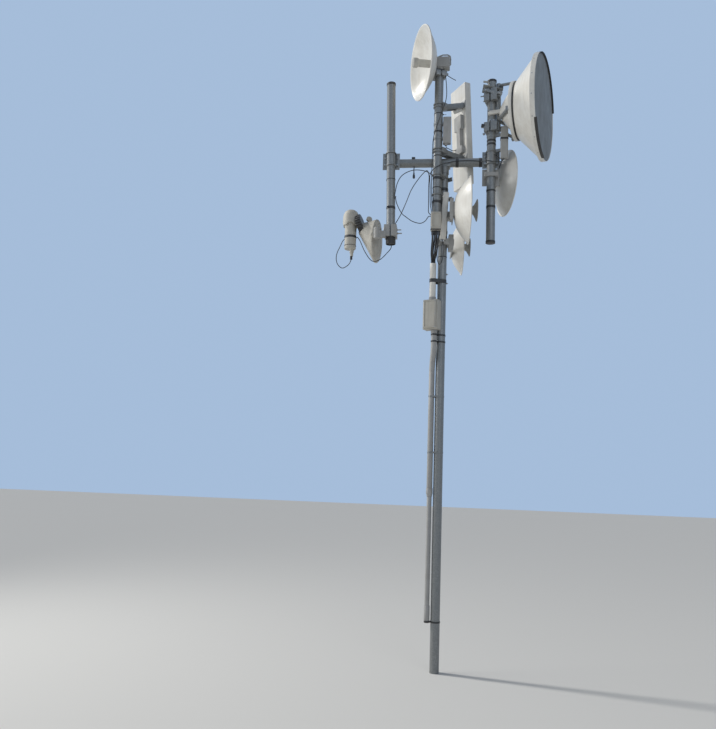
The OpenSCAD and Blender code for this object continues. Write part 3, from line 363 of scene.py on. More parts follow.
# %% Helpers that finish a piece
merged_m = 0.00002
flat_enough = math.radians(0.4)
sharp_edge = math.radians(34.0)
plain_edge_m = 0.0008
slot_of = {part["node"]: part["material_slot"] for part in frame["record"]["subparts"]}


def alone(piece):
    bpy.ops.object.select_all(action="DESELECT")
    piece.select_set(True)
    bpy.context.view_layer.objects.active = piece


def smooth(piece, angle=32.0):
    alone(piece)
    bpy.ops.object.shade_smooth_by_angle(angle=math.radians(angle))


def dressed(piece, finish_name):
    piece.data.materials.clear()
    piece.data.materials.append(finishes[finish_name])
    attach(piece, "root")
    return piece


def rounded(piece, edge, segments=2):
    alone(piece)
    bevel = piece.modifiers.new("edge", "BEVEL")
    bevel.width = edge
    bevel.segments = segments
    bevel.limit_method = "ANGLE"
    bevel.angle_limit = sharp_edge
    bpy.ops.object.modifier_apply(modifier=bevel.name)


def cleaned_copy(node, edge):
    piece = bpy.data.objects.new(node + "_finished", nodes[node].data.copy())
    scene.collection.objects.link(piece)
    alone(piece)
    bpy.ops.object.mode_set(mode="EDIT")
    bpy.ops.mesh.select_all(action="SELECT")
    bpy.ops.mesh.remove_doubles(threshold=merged_m)
    bpy.ops.mesh.dissolve_limited(angle_limit=flat_enough)
    bpy.ops.object.mode_set(mode="OBJECT")
    if edge:
        rounded(piece, edge)
    smooth(piece)
    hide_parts(node)
    dressed(piece, slot_of[node])


print("slots in the record:", len(set(slot_of.values())))

# %% [markdown]
# Large housings get a larger rounding than the small castings. The pipes and the small pressed dish
# keep their cut edges. Four nodes are made another way further down.

# %% Finished copies of the rigid nodes
made_elsewhere = {"riser_bend", "trunk_cables", "patch_leads", "drum_cover"}
edge_of = {
    "mast_pole": 0.0, "left_pole": 0.0, "right_pole": 0.0, "upper_pole": 0.0, "crossarm": 0.0,
    "grid_dish": 0.0, "horn": 0.002, "horn_radio": 0.0015, "pull_box": 0.0025, "pull_box_lid": 0.0025,
    "sector_panel": 0.004, "surge_box": 0.002, "slim_radio": 0.003, "top_radio": 0.004,
    "right_pole_radio": 0.003, "sector_radio": 0.003,
}
for node in nodes:
    if node not in made_elsewhere:
        cleaned_copy(node, edge_of.get(node, plain_edge_m))
print("finished copies:", len(nodes) - len(made_elsewhere))

# %% [markdown]
# The cables are black sheathed leads, tied to poles and boxes. Each follows the same smooth line as
# its CAD solid. It is laid as a curve with a round section, which then turns into a mesh.

# %% Cables along smooth lines
steps_between = 8


def along(points):
    line = []
    for i in range(len(points) - 1):
        a = Vector(points[max(i - 1, 0)])
        b = Vector(points[i])
        c = Vector(points[i + 1])
        d = Vector(points[min(i + 2, len(points) - 1)])
        for k in range(steps_between):
            t = k / steps_between
            line.append(0.5 * (2 * b + (c - a) * t + (2 * a - 5 * b + 4 * c - d) * t * t
                               + (3 * b - a - 3 * c + d) * t * t * t))
    line.append(Vector(points[-1]))
    return [p / 1000.0 for p in line]


def tube(name, line, diameter, finish_name, sides=4):
    curve = bpy.data.curves.new(name, "CURVE")
    curve.dimensions = "3D"
    curve.bevel_depth = diameter / 2000.0
    curve.bevel_resolution = sides
    curve.use_fill_caps = True
    spline = curve.splines.new("POLY")
    spline.points.add(len(line) - 1)
    for point, place in zip(spline.points, line):
        point.co = (place.x, place.y, place.z, 1.0)
    piece = bpy.data.objects.new(name, curve)
    scene.collection.objects.link(piece)
    alone(piece)
    bpy.ops.object.convert(target="MESH")
    piece = bpy.context.object
    bpy.ops.object.shade_smooth_by_angle(angle=math.radians(50.0))
    length = sum((after - before).length for before, after in zip(line, line[1:]))
    print(name, "is", round(length, 2), "m long")
    return dressed(piece, finish_name)


arm_z = 4310.0
surge_x = -59.0
surge_y = -153.75
surge_z = 3635.0
lead_lines = {
    "lead_top_radio": [
        (-22, -100, 5156), (-2, -118, 5068), (11, -122, 4917), (4, -134, 4825), (-11, -136, 4777),
        (-41, -133, 4687), (-78, -130, 4569), (-98, -126, 4470), (-101, -128, 4385), (-104, -110, 4246),
        (-105, -109, 4155), (-105, -110, 4045), (-99, -120, 3901), (-92, -142, 3842),
        (surge_x - 28, surge_y, 3797)],
    "lead_crossarm": [
        (513, -128.75, 4287), (480, -135, 4258), (430, -143, 4254), (385, -142, 4264), (350, -122, 4274),
        (338, -84, 4286), (318, -50, 4299), (268, -45, 4308), (181, -45, 4311), (94, -45, 4306),
        (34, -62, 4286), (-8, -112, 4254), (-40, -135, 4232), (-82, -132, 4206), (-119, -110, 4160),
        (-117, -104, 4045), (-112, -118, 3901), (-104, -142, 3842), (surge_x - 38, surge_y + 6, 3797)],
    "lead_horn": [
        (surge_x - 44, surge_y, 3765), (-124, -150, 3763), (-153, -132, 3730), (-196, -120, 3715),
        (-260, -120, 3732), (-311, -120, 3767), (-358, -118, 3809), (-400, -112, 3892), (-414, -98, 3950),
        (-417, -64, 3980), (-446, -38, 3950), (-452, -40, 3830), (-448, -24, 3730), (-446, -14, 3650),
        (-446, -30, 3570), (-446, -44, 3520), (-471, -50, 3481), (-538, -50, 3413), (-608, -50, 3400),
        (-672, -44, 3481), (-722, -20, 3588), (-752, 30, 3638), (-764, 70, 3650), (-806, 92, 3652),
        (-858, 78, 3646), (-884, 44, 3614), (-905, 25, 3556), (-928, 20, 3498), (-936, 20, 3454),
        (-931, 20, 3414), (-911, 20, 3376), (-874, 20, 3355), (-827, 22, 3384), (-807, 28, 3422),
        (-801, 30, 3465)],
    "lead_left_pole": [
        (surge_x - 44, surge_y + 16, 3783), (-124, -130, 3810), (-126, -116, 3870), (-129, -98, 4045),
        (-128, -96, 4150), (-144, -90, 4202), (-172, -80, 4192), (-225, -68, 4131), (-281, -64, 4040),
        (-318, -62, 3942), (-362, -60, 3830), (-396, -56, 3765), (-418, -48, 3730), (-428, -42, 3704)],
    "lead_loop": [
        (1, -83, 3583), (10, -92, 3530), (10, -112, 3455), (-2, -120, 3382), (-20, -122, 3350),
        (-38, -124, 3378), (-44, -130, 3437), (-34, -144, 3546), (surge_x + 33, surge_y, 3599)],
    "lead_sector": [
        (12, -96.75, 4428), (20, -86, 4414), (44, -50, 4416), (72, 10, 4428), (95, 76, 4460),
        (104, 106, 4470)],
}
lead_mm = 7.0
lead_pieces = [tube(name, along(points), lead_mm, "cable_black") for name, points in lead_lines.items()]
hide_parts("patch_leads")

white_top = 3379.0
trunk_mm = 11.0
gland_steps = (-29, -9, 11)
for number, step in enumerate(gland_steps):
    gland = surge_x + step
    place = number - 1
    trunk = tube("trunk_%d" % number, along([
        (gland, surge_y, 3599), (gland, surge_y + 4, 3559), (-77 + place * 16 - 2, surge_y + 62, 3463),
        (-77 + place * 14, -43, white_top + 24), (-77 + place * 13, -40, white_top - 40)]),
        trunk_mm, "cable_black")
    if number == 0:
        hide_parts("trunk_cables")
print("cables:", len(lead_pieces) + len(gland_steps))

# %% [markdown]
# The riser steps sideways below the pull box in one long S bend. The CAD solid is faceted, so the
# bend is a smooth tube on the same line here.

# %% Riser bend
bend_low = Vector((-69.05, -6.0))
bend_high = Vector((-57.6, -46.2))
bend_foot_z = 2440.0
bend_rise = 230.0
bend_steps = 40
bend_line = []
for step in range(bend_steps + 1):
    t = step / bend_steps
    side = bend_low.lerp(bend_high, t * t * (3 - 2 * t))
    bend_line.append(Vector((side.x, side.y, bend_foot_z + bend_rise * t)) / 1000.0)
bend = tube("riser_bend_smooth", bend_line, 48.0, "conduit_grey", sides=14)
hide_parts("riser_bend")

# %% [markdown]
# Small parts repeat all over the head: nuts on their bolts, ties and bands round the pipes, screws in
# the lids. Each kind is modelled by one helper. A turned part starts as a ring of points, one for each
# corner of its profile, which Spin turns round the axis. A sawn or cast part starts as a bevelled cube.

# %% Helpers for turned and sawn parts
upright = (0, 0, 1)
to_front = (0, -1, 0)
welded_m = 0.000005
inset_wall_m = 0.0006


def axis_turn(direction):
    return Vector(direction).normalized().to_track_quat("Z", "Y").to_matrix().to_4x4()


def put(piece, spot, direction):
    piece.data.transform(Matrix.Translation(Vector(spot) / 1000.0) @ axis_turn(direction))
    return piece


def turned(name, profile, steps, angle=360.0):
    bpy.ops.object.select_all(action="DESELECT")
    bpy.ops.mesh.primitive_circle_add(vertices=len(profile), radius=0.01, location=(0.0, 0.0, 0.0))
    piece = bpy.context.object
    piece.name = name
    for vertex, (radius, height) in zip(piece.data.vertices, profile):
        vertex.co = (radius / 1000.0, 0.0, height / 1000.0)
    bpy.ops.object.mode_set(mode="EDIT")
    bpy.ops.mesh.select_all(action="SELECT")
    bpy.ops.mesh.spin(steps=steps, angle=math.radians(angle), center=(0.0, 0.0, 0.0), axis=(0.0, 0.0, 1.0))
    bpy.ops.mesh.select_all(action="SELECT")
    bpy.ops.mesh.remove_doubles(threshold=welded_m)
    if angle < 360.0:
        bpy.ops.mesh.select_all(action="SELECT")
        bpy.ops.mesh.fill_holes(sides=0)
    bpy.ops.mesh.select_all(action="SELECT")
    bpy.ops.mesh.normals_make_consistent(inside=False)
    bpy.ops.object.mode_set(mode="OBJECT")
    return piece


def block(name, size, spot=(0, 0, 0), edge=1.2):
    bpy.ops.object.select_all(action="DESELECT")
    bpy.ops.mesh.primitive_cube_add(size=1.0, location=Vector(spot) / 1000.0, scale=Vector(size) / 1000.0)
    piece = bpy.context.object
    piece.name = name
    bpy.ops.object.transform_apply(location=True, rotation=True, scale=True)
    rounded(piece, edge / 1000.0)
    return piece


def faces_where(piece, test):
    alone(piece)
    bpy.ops.object.mode_set(mode="EDIT")
    bpy.ops.mesh.select_mode(type="FACE")
    bpy.ops.mesh.select_all(action="DESELECT")
    bpy.ops.object.mode_set(mode="OBJECT")
    for face in piece.data.polygons:
        face.select = test(face)
    bpy.ops.object.mode_set(mode="EDIT")


def sunk(piece, test, thickness, depth):
    faces_where(piece, test)
    bpy.ops.mesh.inset(thickness=thickness / 1000.0, depth=0.0, use_individual=False)
    bpy.ops.mesh.inset(thickness=inset_wall_m, depth=depth / 1000.0, use_individual=False)
    bpy.ops.object.mode_set(mode="OBJECT")


def joined(name, pieces):
    bpy.ops.object.select_all(action="DESELECT")
    for piece in pieces:
        piece.select_set(True)
    bpy.context.view_layer.objects.active = pieces[0]
    bpy.ops.object.join()
    whole = bpy.context.object
    whole.name = name
    smooth(whole)
    return whole


def copy_of(model, spot, direction):
    twin = bpy.data.objects.new(model.name + "_copy", model.data.copy())
    scene.collection.objects.link(twin)
    return put(twin, spot, direction)


def set_of(name, model, places, finish_name):
    whole = joined(name, [copy_of(model, spot, direction) for spot, direction in places])
    dressed(whole, finish_name)


def thrown_away(*models):
    for model in models:
        bpy.data.objects.remove(model, do_unlink=True)


# %% [markdown]
# A bolt's end shows a washer, a hexagon nut with its corners turned off, and a few threads. The nut is
# a six-sided cylinder with a bevel, because its flats have to catch the light one by one. A tie is a
# turned ring with a block for its head, and some keep the cut tail of the strap.

# %% Nut, screw and tie


def nut_with_bolt(across, bolt, out):
    washer_thick = 1.6
    hole = bolt / 2 + 0.2
    rim = across * 0.64
    corner = across * 0.577
    tall = across * 0.47
    washer = turned("washer", [(hole, 0.0), (rim, 0.0), (rim, washer_thick), (hole, washer_thick)], 24)
    bpy.ops.object.select_all(action="DESELECT")
    bpy.ops.mesh.primitive_cylinder_add(vertices=6, radius=corner / 1000.0, depth=tall / 1000.0,
                                        location=(0.0, 0.0, (washer_thick + tall / 2) / 1000.0))
    nut = bpy.context.object
    bpy.ops.object.transform_apply(location=True, rotation=True, scale=True)
    rounded(nut, 0.0009, 1)
    top = washer_thick + tall
    crest = bolt / 2
    root = crest - 0.8
    stub = turned("thread", [
        (0.0, top - 1.0), (crest, top - 1.0), (crest, top + out * 0.3), (root, top + out * 0.36),
        (crest, top + out * 0.42), (root, top + out * 0.6), (crest, top + out * 0.7),
        (crest - 1.4, top + out), (0.0, top + out)], 16)
    return joined("nut_with_bolt", [washer, nut, stub])


def pan_screw(head):
    profile = [(0.0, -1.0), (head / 2, -1.0), (head / 2, 1.0), (head * 0.36, 2.4), (0.0, 3.0)]
    screw = turned("pan_screw", profile, 20)
    smooth(screw, 40.0)
    return screw


big_nut = nut_with_bolt(across=17.0, bolt=10.0, out=9.0)
small_nut = nut_with_bolt(across=13.0, bolt=8.0, out=6.0)
screw = pan_screw(head=9.0)
print("fasteners:", [len(model.data.polygons) for model in (big_nut, small_nut, screw)], "faces")


def band(name, centre, radius, width, thickness, direction, head_turn, tail=0.0,
         finish_name="black_plastic"):
    half = width / 2
    shoulder = radius + thickness * 0.6
    crown = radius + thickness
    strap = turned(name, [(radius, -half), (shoulder, -half), (crown, -half * 0.7), (crown, half * 0.7),
                          (shoulder, half), (radius, half)], 48)
    head = block(name + "_head", (thickness + 5.0, min(width, 12.0) * 0.9, width + 3.0),
                 (radius + thickness / 2 + 2.5, 0.0, 0.0), 1.0)
    parts_of_band = [strap, head]
    if tail:
        strip = block(name + "_tail", (tail, 2.0, width * 0.5), (radius + 5.0 + tail / 2, 1.0, 0.0), 0.5)
        faces_where(strip, lambda face: face.normal.x > 0.9)
        bpy.ops.transform.translate(value=(0.0, 0.0, -tail * 0.00022))
        bpy.ops.object.mode_set(mode="OBJECT")
        parts_of_band.append(strip)
    for part in parts_of_band[1:]:
        part.data.transform(Matrix.Rotation(math.radians(head_turn), 4, "Z"))
    whole = joined(name, parts_of_band)
    put(whole, centre, direction)
    dressed(whole, finish_name)


# %% [markdown]
# Black ties and bands hold the leads along the pipes. Their places come from the picture, and each
# ring is a little wider than the pipe that it goes round. Cut tails stick out at the left.

# %% Ties and bands round the pipes
pipe_r = 38.05
tie_r = pipe_r + 0.1
left_x = -466.0
upper_x = -57.0
right_x = 406.0
pole_front = -84.7
lean = math.radians(1.45)
left_axis = (-math.sin(lean), 0.0, math.cos(lean))


def on_left_pole(z):
    return (left_x - (z - arm_z) * math.tan(lean), pole_front, z)


bands = [
    ("tie_left_high", on_left_pole(3865.0), 22.0, left_axis, 330.0, 16.0),
    ("tie_left_mark", on_left_pole(4125.0), 6.0, left_axis, 250.0, 0.0),
    ("tie_upper_high", (upper_x, pole_front, 4556.0), 14.0, (0.05, 0.0, 1.0), 205.0, 0.0),
    ("tie_upper_clip", (upper_x, pole_front, 4725.0), 7.0, upright, 184.0, 26.0),
    ("tie_upper_arm", (upper_x, pole_front, 4333.0), 8.0, upright, 182.0, 26.0),
    ("tie_upper_low", (upper_x, pole_front, 4128.0), 24.0, (0.02, 0.0, 1.0), 300.0, 0.0),
    ("tie_upper_knot", (upper_x, pole_front, 4043.0), 8.0, upright, 188.0, 14.0),
    ("tie_upper_foot", (upper_x, pole_front, 3914.0), 24.0, (0.03, 0.0, 1.0), 250.0, 0.0),
    ("tie_right_top", (right_x, pole_front, 4464.0), 18.0, upright, 240.0, 0.0),
    ("tie_right_next", (right_x, pole_front, 4432.0), 18.0, upright, 250.0, 0.0),
    ("tie_right_low", (right_x, pole_front, 4011.0), 15.0, (-0.04, 0.0, 1.0), 300.0, 0.0),
    ("tie_mast", (0.0, 0.0, 4056.0), 28.0, upright, 300.0, 0.0),
    ("tie_mast_low", (0.0, 0.0, 3447.0), 9.0, upright, 300.0, 0.0),
]
for name, centre, width, direction, head_turn, tail in bands:
    band(name, centre, tie_r, width, 2.0, direction, head_turn, tail)
band("joint_mark", (right_x, pole_front, 3919.0), pipe_r, 5.0, 0.7, upright, 90.0, finish_name="galvanised")
arm_straps = [("arm_strap_a", 114.0, 20.0), ("arm_strap_b", 316.0, 12.0)]
for name, x, drop in arm_straps:
    band(name, (x, 0.0, arm_z), tie_r, 26.0, 2.4, (1, 0, 0), 70.0, drop)
print("ties:", len(bands), "and straps on the arm:", len(arm_straps))

# %% [markdown]
# A wide black strap binds the white conduit to the mast above the pull box, and two thin ones bind the
# riser. Each is one closed loop round both pipes, so its outline is a hull of two circles, which an
# extrude of its edges turns into a wall.

# %% Straps round mast and conduits
loop_sides = 28
loop_gap = 0.3
loop_mast_r = 38.2


def loop_outline(middle, radius):
    way = math.atan2(middle.y, middle.x)
    spread = math.acos((loop_mast_r - radius) / middle.length)
    outline = []
    for k in range(loop_sides + 1):
        turn = way - spread + 2 * spread * k / loop_sides
        outline.append(middle + Vector((math.cos(turn), math.sin(turn))) * (radius + loop_gap))
    for k in range(loop_sides + 1):
        turn = way + spread + (2 * math.pi - 2 * spread) * k / loop_sides
        outline.append(Vector((math.cos(turn), math.sin(turn))) * (loop_mast_r + loop_gap))
    return outline


def loop_strap(name, middle, radius, z, width, thickness, finish_name):
    outline = loop_outline(middle, radius)
    bpy.ops.object.select_all(action="DESELECT")
    bpy.ops.mesh.primitive_circle_add(vertices=len(outline), radius=0.05, location=(0.0, 0.0, 0.0))
    strap = bpy.context.object
    strap.name = name
    for vertex, corner in zip(strap.data.vertices, outline):
        vertex.co = (corner.x / 1000.0, corner.y / 1000.0, (z - width / 2) / 1000.0)
    bpy.ops.object.mode_set(mode="EDIT")
    bpy.ops.mesh.select_mode(type="EDGE")
    bpy.ops.mesh.select_all(action="SELECT")
    bpy.ops.mesh.extrude_region_move(TRANSFORM_OT_translate={"value": (0.0, 0.0, width / 1000.0)})
    bpy.ops.mesh.select_all(action="SELECT")
    bpy.ops.mesh.normals_make_consistent(inside=False)
    bpy.ops.object.mode_set(mode="OBJECT")
    wall = strap.modifiers.new("wall", "SOLIDIFY")
    wall.thickness = thickness / 1000.0
    wall.offset = 1.0
    alone(strap)
    bpy.ops.object.modifier_apply(modifier=wall.name)
    rounded(strap, 0.0005, 1)
    smooth(strap)
    dressed(strap, finish_name)


box_turn = math.radians(247.0)
box_out = Vector((math.cos(box_turn), math.sin(box_turn)))
box_across = Vector((-math.sin(box_turn), math.cos(box_turn)))
box_middle = Vector((-78.0, -56.0))
white_middle = box_middle - 14.0 * box_out - 5.0 * box_across
loop_strap("strap_conduit", white_middle, 27.3, 3227.0, 32.0, 2.0, "black_plastic")
for number, z in enumerate((1760.0, 2230.0)):
    loop_strap("strap_riser_%d" % number, bend_low, 24.2, z, 14.0, 1.2, "galvanised")
set_of("strap_screws", small_nut, [((40.0, 6.0, 3216.0), (1, 0.1, 0)), ((38.6, 12.0, 3298.0), (1, 0.3, 0))],
       "bright_zinc")

# %% [markdown]
# The deep dish's weather cover is one moulding in the CAD. As built here it is three things: a white
# band like the shell, a grey face that bulges inside it, and a dark edge strip along two stretches. The
# strip is a black trim laid only where the edge lies in shade, so its black is partly painted shade.
# Each is a profile turned round the dish's own axis, the strip only part of the way.

# %% Cover of the deep dish
drum_height_m = 4.7
drum_reach_m = 0.468
drum_spot = Matrix.Translation((right_x / 1000.0, pole_front / 1000.0, drum_height_m))
drum_spot = drum_spot @ Matrix.Rotation(math.radians(-17.0), 4, "Z")
drum_spot = drum_spot @ Matrix.Translation((drum_reach_m, 0.0, 0.0))
drum_spot = drum_spot @ Matrix.Rotation(math.radians(1.5), 4, "Y")
drum_turn = drum_spot @ Matrix.Rotation(math.radians(90.0), 4, "Y")


def on_drum(piece):
    piece.data.transform(drum_turn)
    return piece


def part_turned(name, profile, steps, angle, middle):
    piece = turned(name, profile, steps, angle)
    centre = sum((vertex.co for vertex in piece.data.vertices), Vector()) / len(piece.data.vertices)
    piece.data.transform(Matrix.Rotation(math.radians(middle) - math.atan2(centre.y, centre.x), 4, "Z"))
    return piece


cover_r = 444.0
bulge = 12.0
shares = (0.0, 0.12, 0.25, 0.4, 0.55, 0.7, 0.82, 0.92, 0.985)
face_line = [(cover_r * share, -20.0 + bulge * (1.0 - share * share)) for share in shares]
face_back = [(radius, height - 3.2) for radius, height in reversed(face_line)]
drum_face = on_drum(turned("drum_cover_face", face_line + [(440.2, -23.0)] + face_back, 96))
smooth(drum_face)
dressed(drum_face, "cover_grey")
band_line = [(445.2, -57.0), (445.9, -56.0), (445.6, -16.5), (444.6, -15.5), (442.0, -15.5),
             (441.4, -16.5), (441.4, -56.0), (442.0, -57.0)]
drum_band = on_drum(turned("drum_cover_band", band_line, 96))
smooth(drum_band)
dressed(drum_band, "dish_white")
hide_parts("drum_cover")
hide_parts("drum_cover")
# The black strip stands only on the two stretches of the edge that lie in shade: a trim and painted shade.
trim_and_shade_line = [(446.3, -28.0), (446.2, -6.4), (445.0, -5.3), (442.0, -4.2), (440.2, -4.8),
              (440.2, -22.0), (441.3, -22.0), (441.3, -15.3), (445.95, -15.3), (445.95, -28.0)]
trim_and_shade_strips = [on_drum(part_turned("drum_trim_and_shade_far", trim_and_shade_line, 40, 106.0, 162.0)),
          on_drum(part_turned("drum_trim_and_shade_near", trim_and_shade_line, 24, 57.0, 333.5))]
dressed(joined("drum_edge_trim_and_shade", trim_and_shade_strips), "black_plastic")

rim_screws = 16
rim_r_m = 0.4455
rim_back_m = 0.041
rim_places = []
for k in range(rim_screws):
    turn = math.radians((k + 0.5) * 360.0 / rim_screws)
    outward = drum_turn.to_3x3() @ Vector((math.cos(turn), math.sin(turn), 0.0))
    spot = drum_turn @ Vector((rim_r_m * math.cos(turn), rim_r_m * math.sin(turn), -rim_back_m))
    rim_places.append((spot * 1000.0, outward))
set_of("drum_rim_screws", screw, rim_places, "bright_zinc")
print("deep dish's face and band:", len(drum_face.data.polygons) + len(drum_band.data.polygons), "faces")

# %% [markdown]
# The deep dish hangs on two clamps. Dark plates lie across them at a slant, and a small tab, a block on
# the strut and a pale strap show beside them. They are bevelled blocks, each turned to its own slant. A
# pale round spacer under the strap is turned.

# %% Plates and straps of the deep dish's mount


def slanted(name, size, spot, turns, finish_name, edge=1.5, slot_name=None):
    piece = block(name, size, (0, 0, 0), edge)
    turn = Matrix.Rotation(math.radians(turns[2]), 4, "Z") @ Matrix.Rotation(math.radians(turns[1]), 4, "Y")
    turn = turn @ Matrix.Rotation(math.radians(turns[0]), 4, "X")
    piece.data.transform(Matrix.Translation(Vector(spot) / 1000.0) @ turn)
    smooth(piece)
    dressed(piece, finish_name)


def round_piece(name, profile, steps, spot, direction, finish_name, smooth_angle=40.0):
    piece = put(turned(name, profile, steps), spot, direction)
    smooth(piece, smooth_angle)
    return dressed(piece, finish_name)


for row in (
        ("mount_plate_top", (172, 88, 5), (407, -122, 4918), (-24, 15, 0), "galvanised"),
        ("mount_plate_lip", (168, 5, 26), (409, -160, 4888), (0, 15, 0), "galvanised"),
        ("mount_plate_side", (30, 60, 60), (470, -120, 4878), (0, 20, 0), "galvanised", 4.0),
        ("mount_tab", (46, 12, 14), (352, -116, 5004), (0, 6, 0), "feed_grey"),
        ("strut_block", (36, 40, 34), (483, -112, 4942), (0, 4, 0), "black_plastic", 4.0),
        # The strap is galvanised; its white paint is a painted highlight where the sun lights it.
        ("mount_strap", (186, 30, 34), (466, -132, 4714), (0, -6, -2), "dish_white", 3.0, "galvanised"),
        ("mount_jaw", (60, 34, 26), (345, -112, 4594), (0, 10, 0), "black_plastic", 5.0)):
    slanted(*row)
roller_line = [(0.0, -32.0), (15.0, -32.0), (17.5, -29.0), (17.5, 29.0), (15.0, 32.0), (0.0, 32.0)]
round_piece("mount_roller", roller_line, 32, (524, -132, 4646), (1.0, 0.0, 0.08), "dish_white")
nut_places = [((341, -98, 4526), (-0.6, -0.8, 0.0))]
nut_places += [(spot, to_front) for spot in (
    (374, -147, 4718), (548, -147, 4734), (352, -163, 4900), (460, -163, 4872), (392, -123, 4640),
    (422, -123, 4640))]
set_of("drum_mount_nuts", big_nut, nut_places, "bright_zinc")
print("nuts on the deep dish's mount:", len(nut_places))

# %% [markdown]
# The ribbed black sleeve on the left pole's foot and the ring on the right pole's foot are turned. The
# horn's clamp shows a lit jaw and a knob.

# %% Pole feet and the horn's clamp
ribs = 6
rib_pitch = 10.0
foot_line = [(38.2, 0.0)]
for k in range(ribs):
    rib = rib_pitch * k
    foot_line += [(41.5, 1.0 + rib), (43.0, 3.0 + rib), (43.0, 6.5 + rib), (41.5, 8.5 + rib)]
foot_line += [(41.5, 61.0), (38.2, 62.0)]
ring_line = [(38.1, 0.0), (40.2, 0.0), (40.2, 20.0), (38.1, 21.0)]
knob_line = [(0.0, 0.0), (12.0, 0.0), (17.0, 4.0), (18.0, 12.0), (15.0, 20.0), (8.0, 24.0), (0.0, 25.0)]
sleeve = round_piece("foot_sleeve", foot_line, 48, on_left_pole(3538.0), left_axis, "black_plastic")
round_piece("right_foot_ring", ring_line, 48, (right_x, pole_front, 3856.0), upright, "black_plastic",
            smooth_angle=32.0)
round_piece("horn_knob", knob_line, 24, (-418.0, -102.0, 3664.0), (0.7, -0.7, 0.1), "black_plastic")
# The jaw is galvanised; its white paint is a painted highlight where the sun lights it.
slanted("horn_jaw", (22, 40, 30), (-497, -112, 3672), (0, 4, 20), "dish_white", 4.0, "galvanised")
print("sleeve:", len(sleeve.data.polygons), "faces")

# %% [markdown]
# More leads show in front of the head: one that droops from the upper pole to the left one, a jumper to
# the low dish, a loose tail at the top radio, a short ground lead, and a lead with a plug that hangs
# under the arm. Three more cables fill the bundle under the surge box. All are tubes like the others.

# %% More leads
more_leads = {
    "lead_arc": ([
        (-98, -100, 4158), (-167, -92, 4200), (-268, -90, 4209), (-358, -100, 4163), (-403, -112, 4079),
        (-424, -116, 3952)], 7.0),
    "lead_tail": ([(-4, -100, 5100), (24, -98, 5078), (58, -88, 5060), (89, -80, 5046)], 6.5),
    "lead_jumper": ([
        (486, -118, 4452), (505, -112, 4425), (512, -95, 4380), (500, -75, 4310), (482, -50, 4250),
        (472, -38, 4222)], 8.0),
    "lead_ground": ([(430, -122, 4330), (452, -118, 4318), (477, -108, 4302), (492, -104, 4290)], 6.0),
    "lead_arm": ([(-262, -10, 4276), (-266, -12, 4250), (-265, -14, 4215), (-265, -14, 4176)], 9.0),
}
bundle_mm = 13.5
conduit_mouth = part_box("cable_conduit")[1].z * 1000.0
for number, across in enumerate((-12.0, 2.0, 13.0)):
    more_leads["trunk_behind_%d" % number] = ([
        (surge_x + 2.1 * across, -162.0, surge_z + 2.0), (surge_x + 1.9 * across, -158.0, surge_z - 70.0),
        (white_middle.x + 1.2 * across + 9.0, -105.0, surge_z - 190.0),
        (white_middle.x + 0.9 * across, white_middle.y + 6.0, conduit_mouth + 30.0),
        (white_middle.x + 0.8 * across, white_middle.y + 6.0, conduit_mouth - 25.0)], bundle_mm)
for name, (line, thick) in more_leads.items():
    tube(name, along(line), thick, "cable_black")
plug_line = [(0.0, 0.0), (9.0, 0.0), (10.5, 4.0), (10.5, 26.0), (7.0, 34.0), (6.0, 48.0), (0.0, 48.0)]
round_piece("arm_plug", plug_line, 24, (-265.0, -14.0, 4166.0), upright, "black_plastic")
slanted("arm_block", (30, 30, 24), (-272, -8, 4350), (0, 0, 0), "black_plastic", 2.5)
print("more leads:", len(more_leads))

# %% [markdown]
# The boxes have lids: a plate with a rounded edge whose middle is sunk a little, which Inset and a push
# inwards make, and screws along its edges. Both boxes get theirs in the same way.

# %% Lids, screws and dark foot strip of the boxes
lid = block("surge_lid", (80.0, 5.0, 134.0))
sunk(lid, lambda face: face.normal.y < -0.9, 9.0, -1.6)
smooth(lid)
lid.data.transform(Matrix.Translation((surge_x / 1000.0, -0.1905, (surge_z + 86.0) / 1000.0)))
dressed(lid, "box_beige")
slanted("surge_foot_strip", (89, 30, 9), (surge_x, -175.0, surge_z + 5.0), (0, 0, 0), "black_plastic")
lid_screws = [((surge_x + x, -193.0, surge_z + z), to_front) for x in (-35.5, 35.5) for z in (24.0, 148.0)]
set_of("surge_lid_screws", screw, lid_screws, "bright_zinc")

box_height_m = 2.923
box_spot = Matrix.Translation((box_middle.x / 1000.0, box_middle.y / 1000.0, box_height_m))
box_spot = box_spot @ Matrix.Rotation(box_turn, 4, "Z")
panel = block("pull_box_panel", (4.0, 113.0, 236.0), (54.0, 0, 0))
sunk(panel, lambda face: face.normal.x > 0.9, 10.0, -1.8)
smooth(panel)
panel.data.transform(box_spot)
dressed(panel, "box_beige")
box_screws = [((box_spot @ Vector((0.056, y, z))) * 1000.0, box_out.to_3d()) for y in (-0.0515, 0.0515)
              for z in (-0.113, 0.0, 0.113)]
set_of("pull_box_screws", screw, box_screws, "bright_zinc")
print("lid screws:", len(lid_screws) + len(box_screws))

# %% [markdown]
# The radios carry small things as well: two bands and a ribbed gland at the horn's radio, a white clip
# at the top of the slim one, connectors at its foot, and a black strap round the right pole's one.

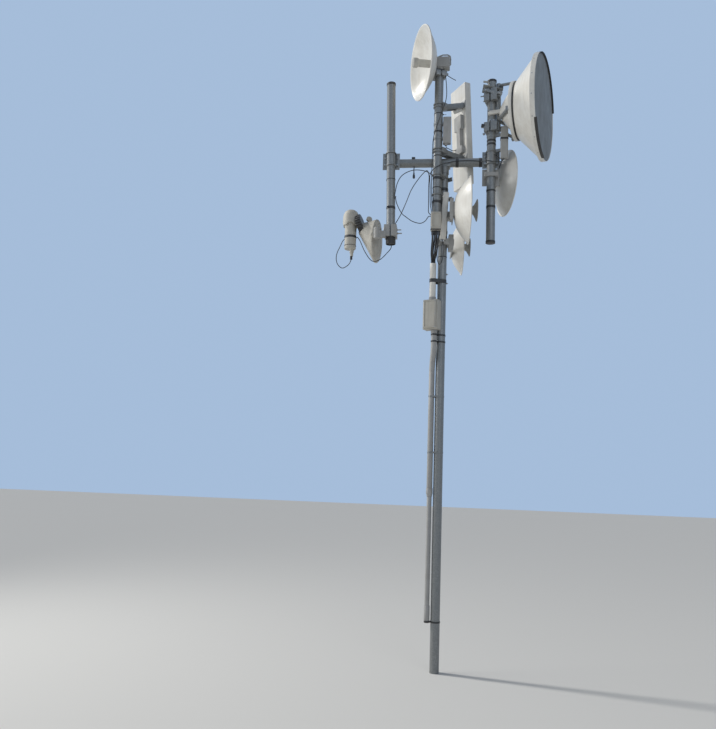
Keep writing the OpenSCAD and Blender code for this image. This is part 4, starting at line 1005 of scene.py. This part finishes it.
# %% Bands, clips and connectors on the radios
for number, (z, width) in enumerate(((3639.0, 20.0), (3560.0, 4.0))):
    band("horn_radio_band_%d" % number, (-817.0, 30.0, z), 52.1, width, 1.8, upright, 250.0)
gland_ribs = 5
gland_line = [(0.0, -30.0), (9.0, -30.0)]
for k in range(gland_ribs):
    rib = 5.5 * k
    gland_line += [(11.0, -28.0 + rib), (11.0, -25.5 + rib), (9.4, -24.5 + rib)]
gland_line += [(12.0, 0.5), (0.0, 0.5)]
horn_radio_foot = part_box("horn_radio")[0].z * 1000.0
round_piece("horn_radio_gland", gland_line, 24, (-803.0, 30.0, horn_radio_foot), upright, "black_plastic")
slanted("slim_clip", (19, 7, 19), (3, -101, 3962), (0, 45, 0), "dish_white")
connector_line = [(0.0, 0.0), (6.0, 0.0), (7.5, 2.0), (7.5, 9.0), (9.0, 10.0), (9.0, 18.0), (6.5, 20.0),
                  (6.0, 26.0), (0.0, 26.0)]
connector = turned("connector", connector_line, 20)
smooth(connector, 40.0)
connector_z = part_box("slim_radio")[0].z * 1000.0 - 21.0
connectors = [((x, -84.0, connector_z), upright) for x in (-12.0, 6.0)]
set_of("slim_radio_plugs", connector, connectors, "bright_zinc")
thrown_away(connector)
low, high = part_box("right_pole_radio")
strap_size = ((high.x - low.x) * 1000.0 + 3.0, (high.y - low.y) * 1000.0 + 3.0, 17.0)
strap_spot = ((low.x + high.x) * 500.0, (low.y + high.y) * 500.0, 4466.0)
slanted("pole_radio_strap", strap_size, strap_spot, (0, 0, 0), "black_plastic")
print("gland ribs:", gland_ribs, "connectors:", len(connectors))

# %% [markdown]
# Nuts stand on the front plates that hold the left and right poles to the arm, four round each pole, as
# the picture shows bright dots there. A clip and two shims sit at the sector panel's bracket.

# %% Nuts on the crossover plates, clip and shims at the sector panel
plate_face = -46.5
plate_nuts = [((x + side, plate_face, arm_z + lift), to_front)
              for x in (left_x, right_x) for side in (-52.0, 52.0) for lift in (-34.0, 34.0)]
set_of("crossover_nuts", big_nut, plate_nuts, "bright_zinc")
slanted("sector_clip", (14, 10, 52), (180, 96, 4749), (0, 0, 32.5), "dish_white")
# The two shims are galvanised; their white paint is a painted highlight where the sun catches the bracket.
slanted("sector_shim", (46, 12, 30), (96, 44, 4812), (0, -18, 0), "dish_white", 3.0, "galvanised")
slanted("sector_shim_end", (24, 12, 22), (138, 70, 4838), (0, -18, 0), "dish_white", 3.0, "galvanised")
print("nuts on plates:", len(plate_nuts))

# %% [markdown]
# The fasteners that everything was copied from stand on no body of their own, so they go again here.

# %% Put the models away
thrown_away(big_nut, small_nut, screw)
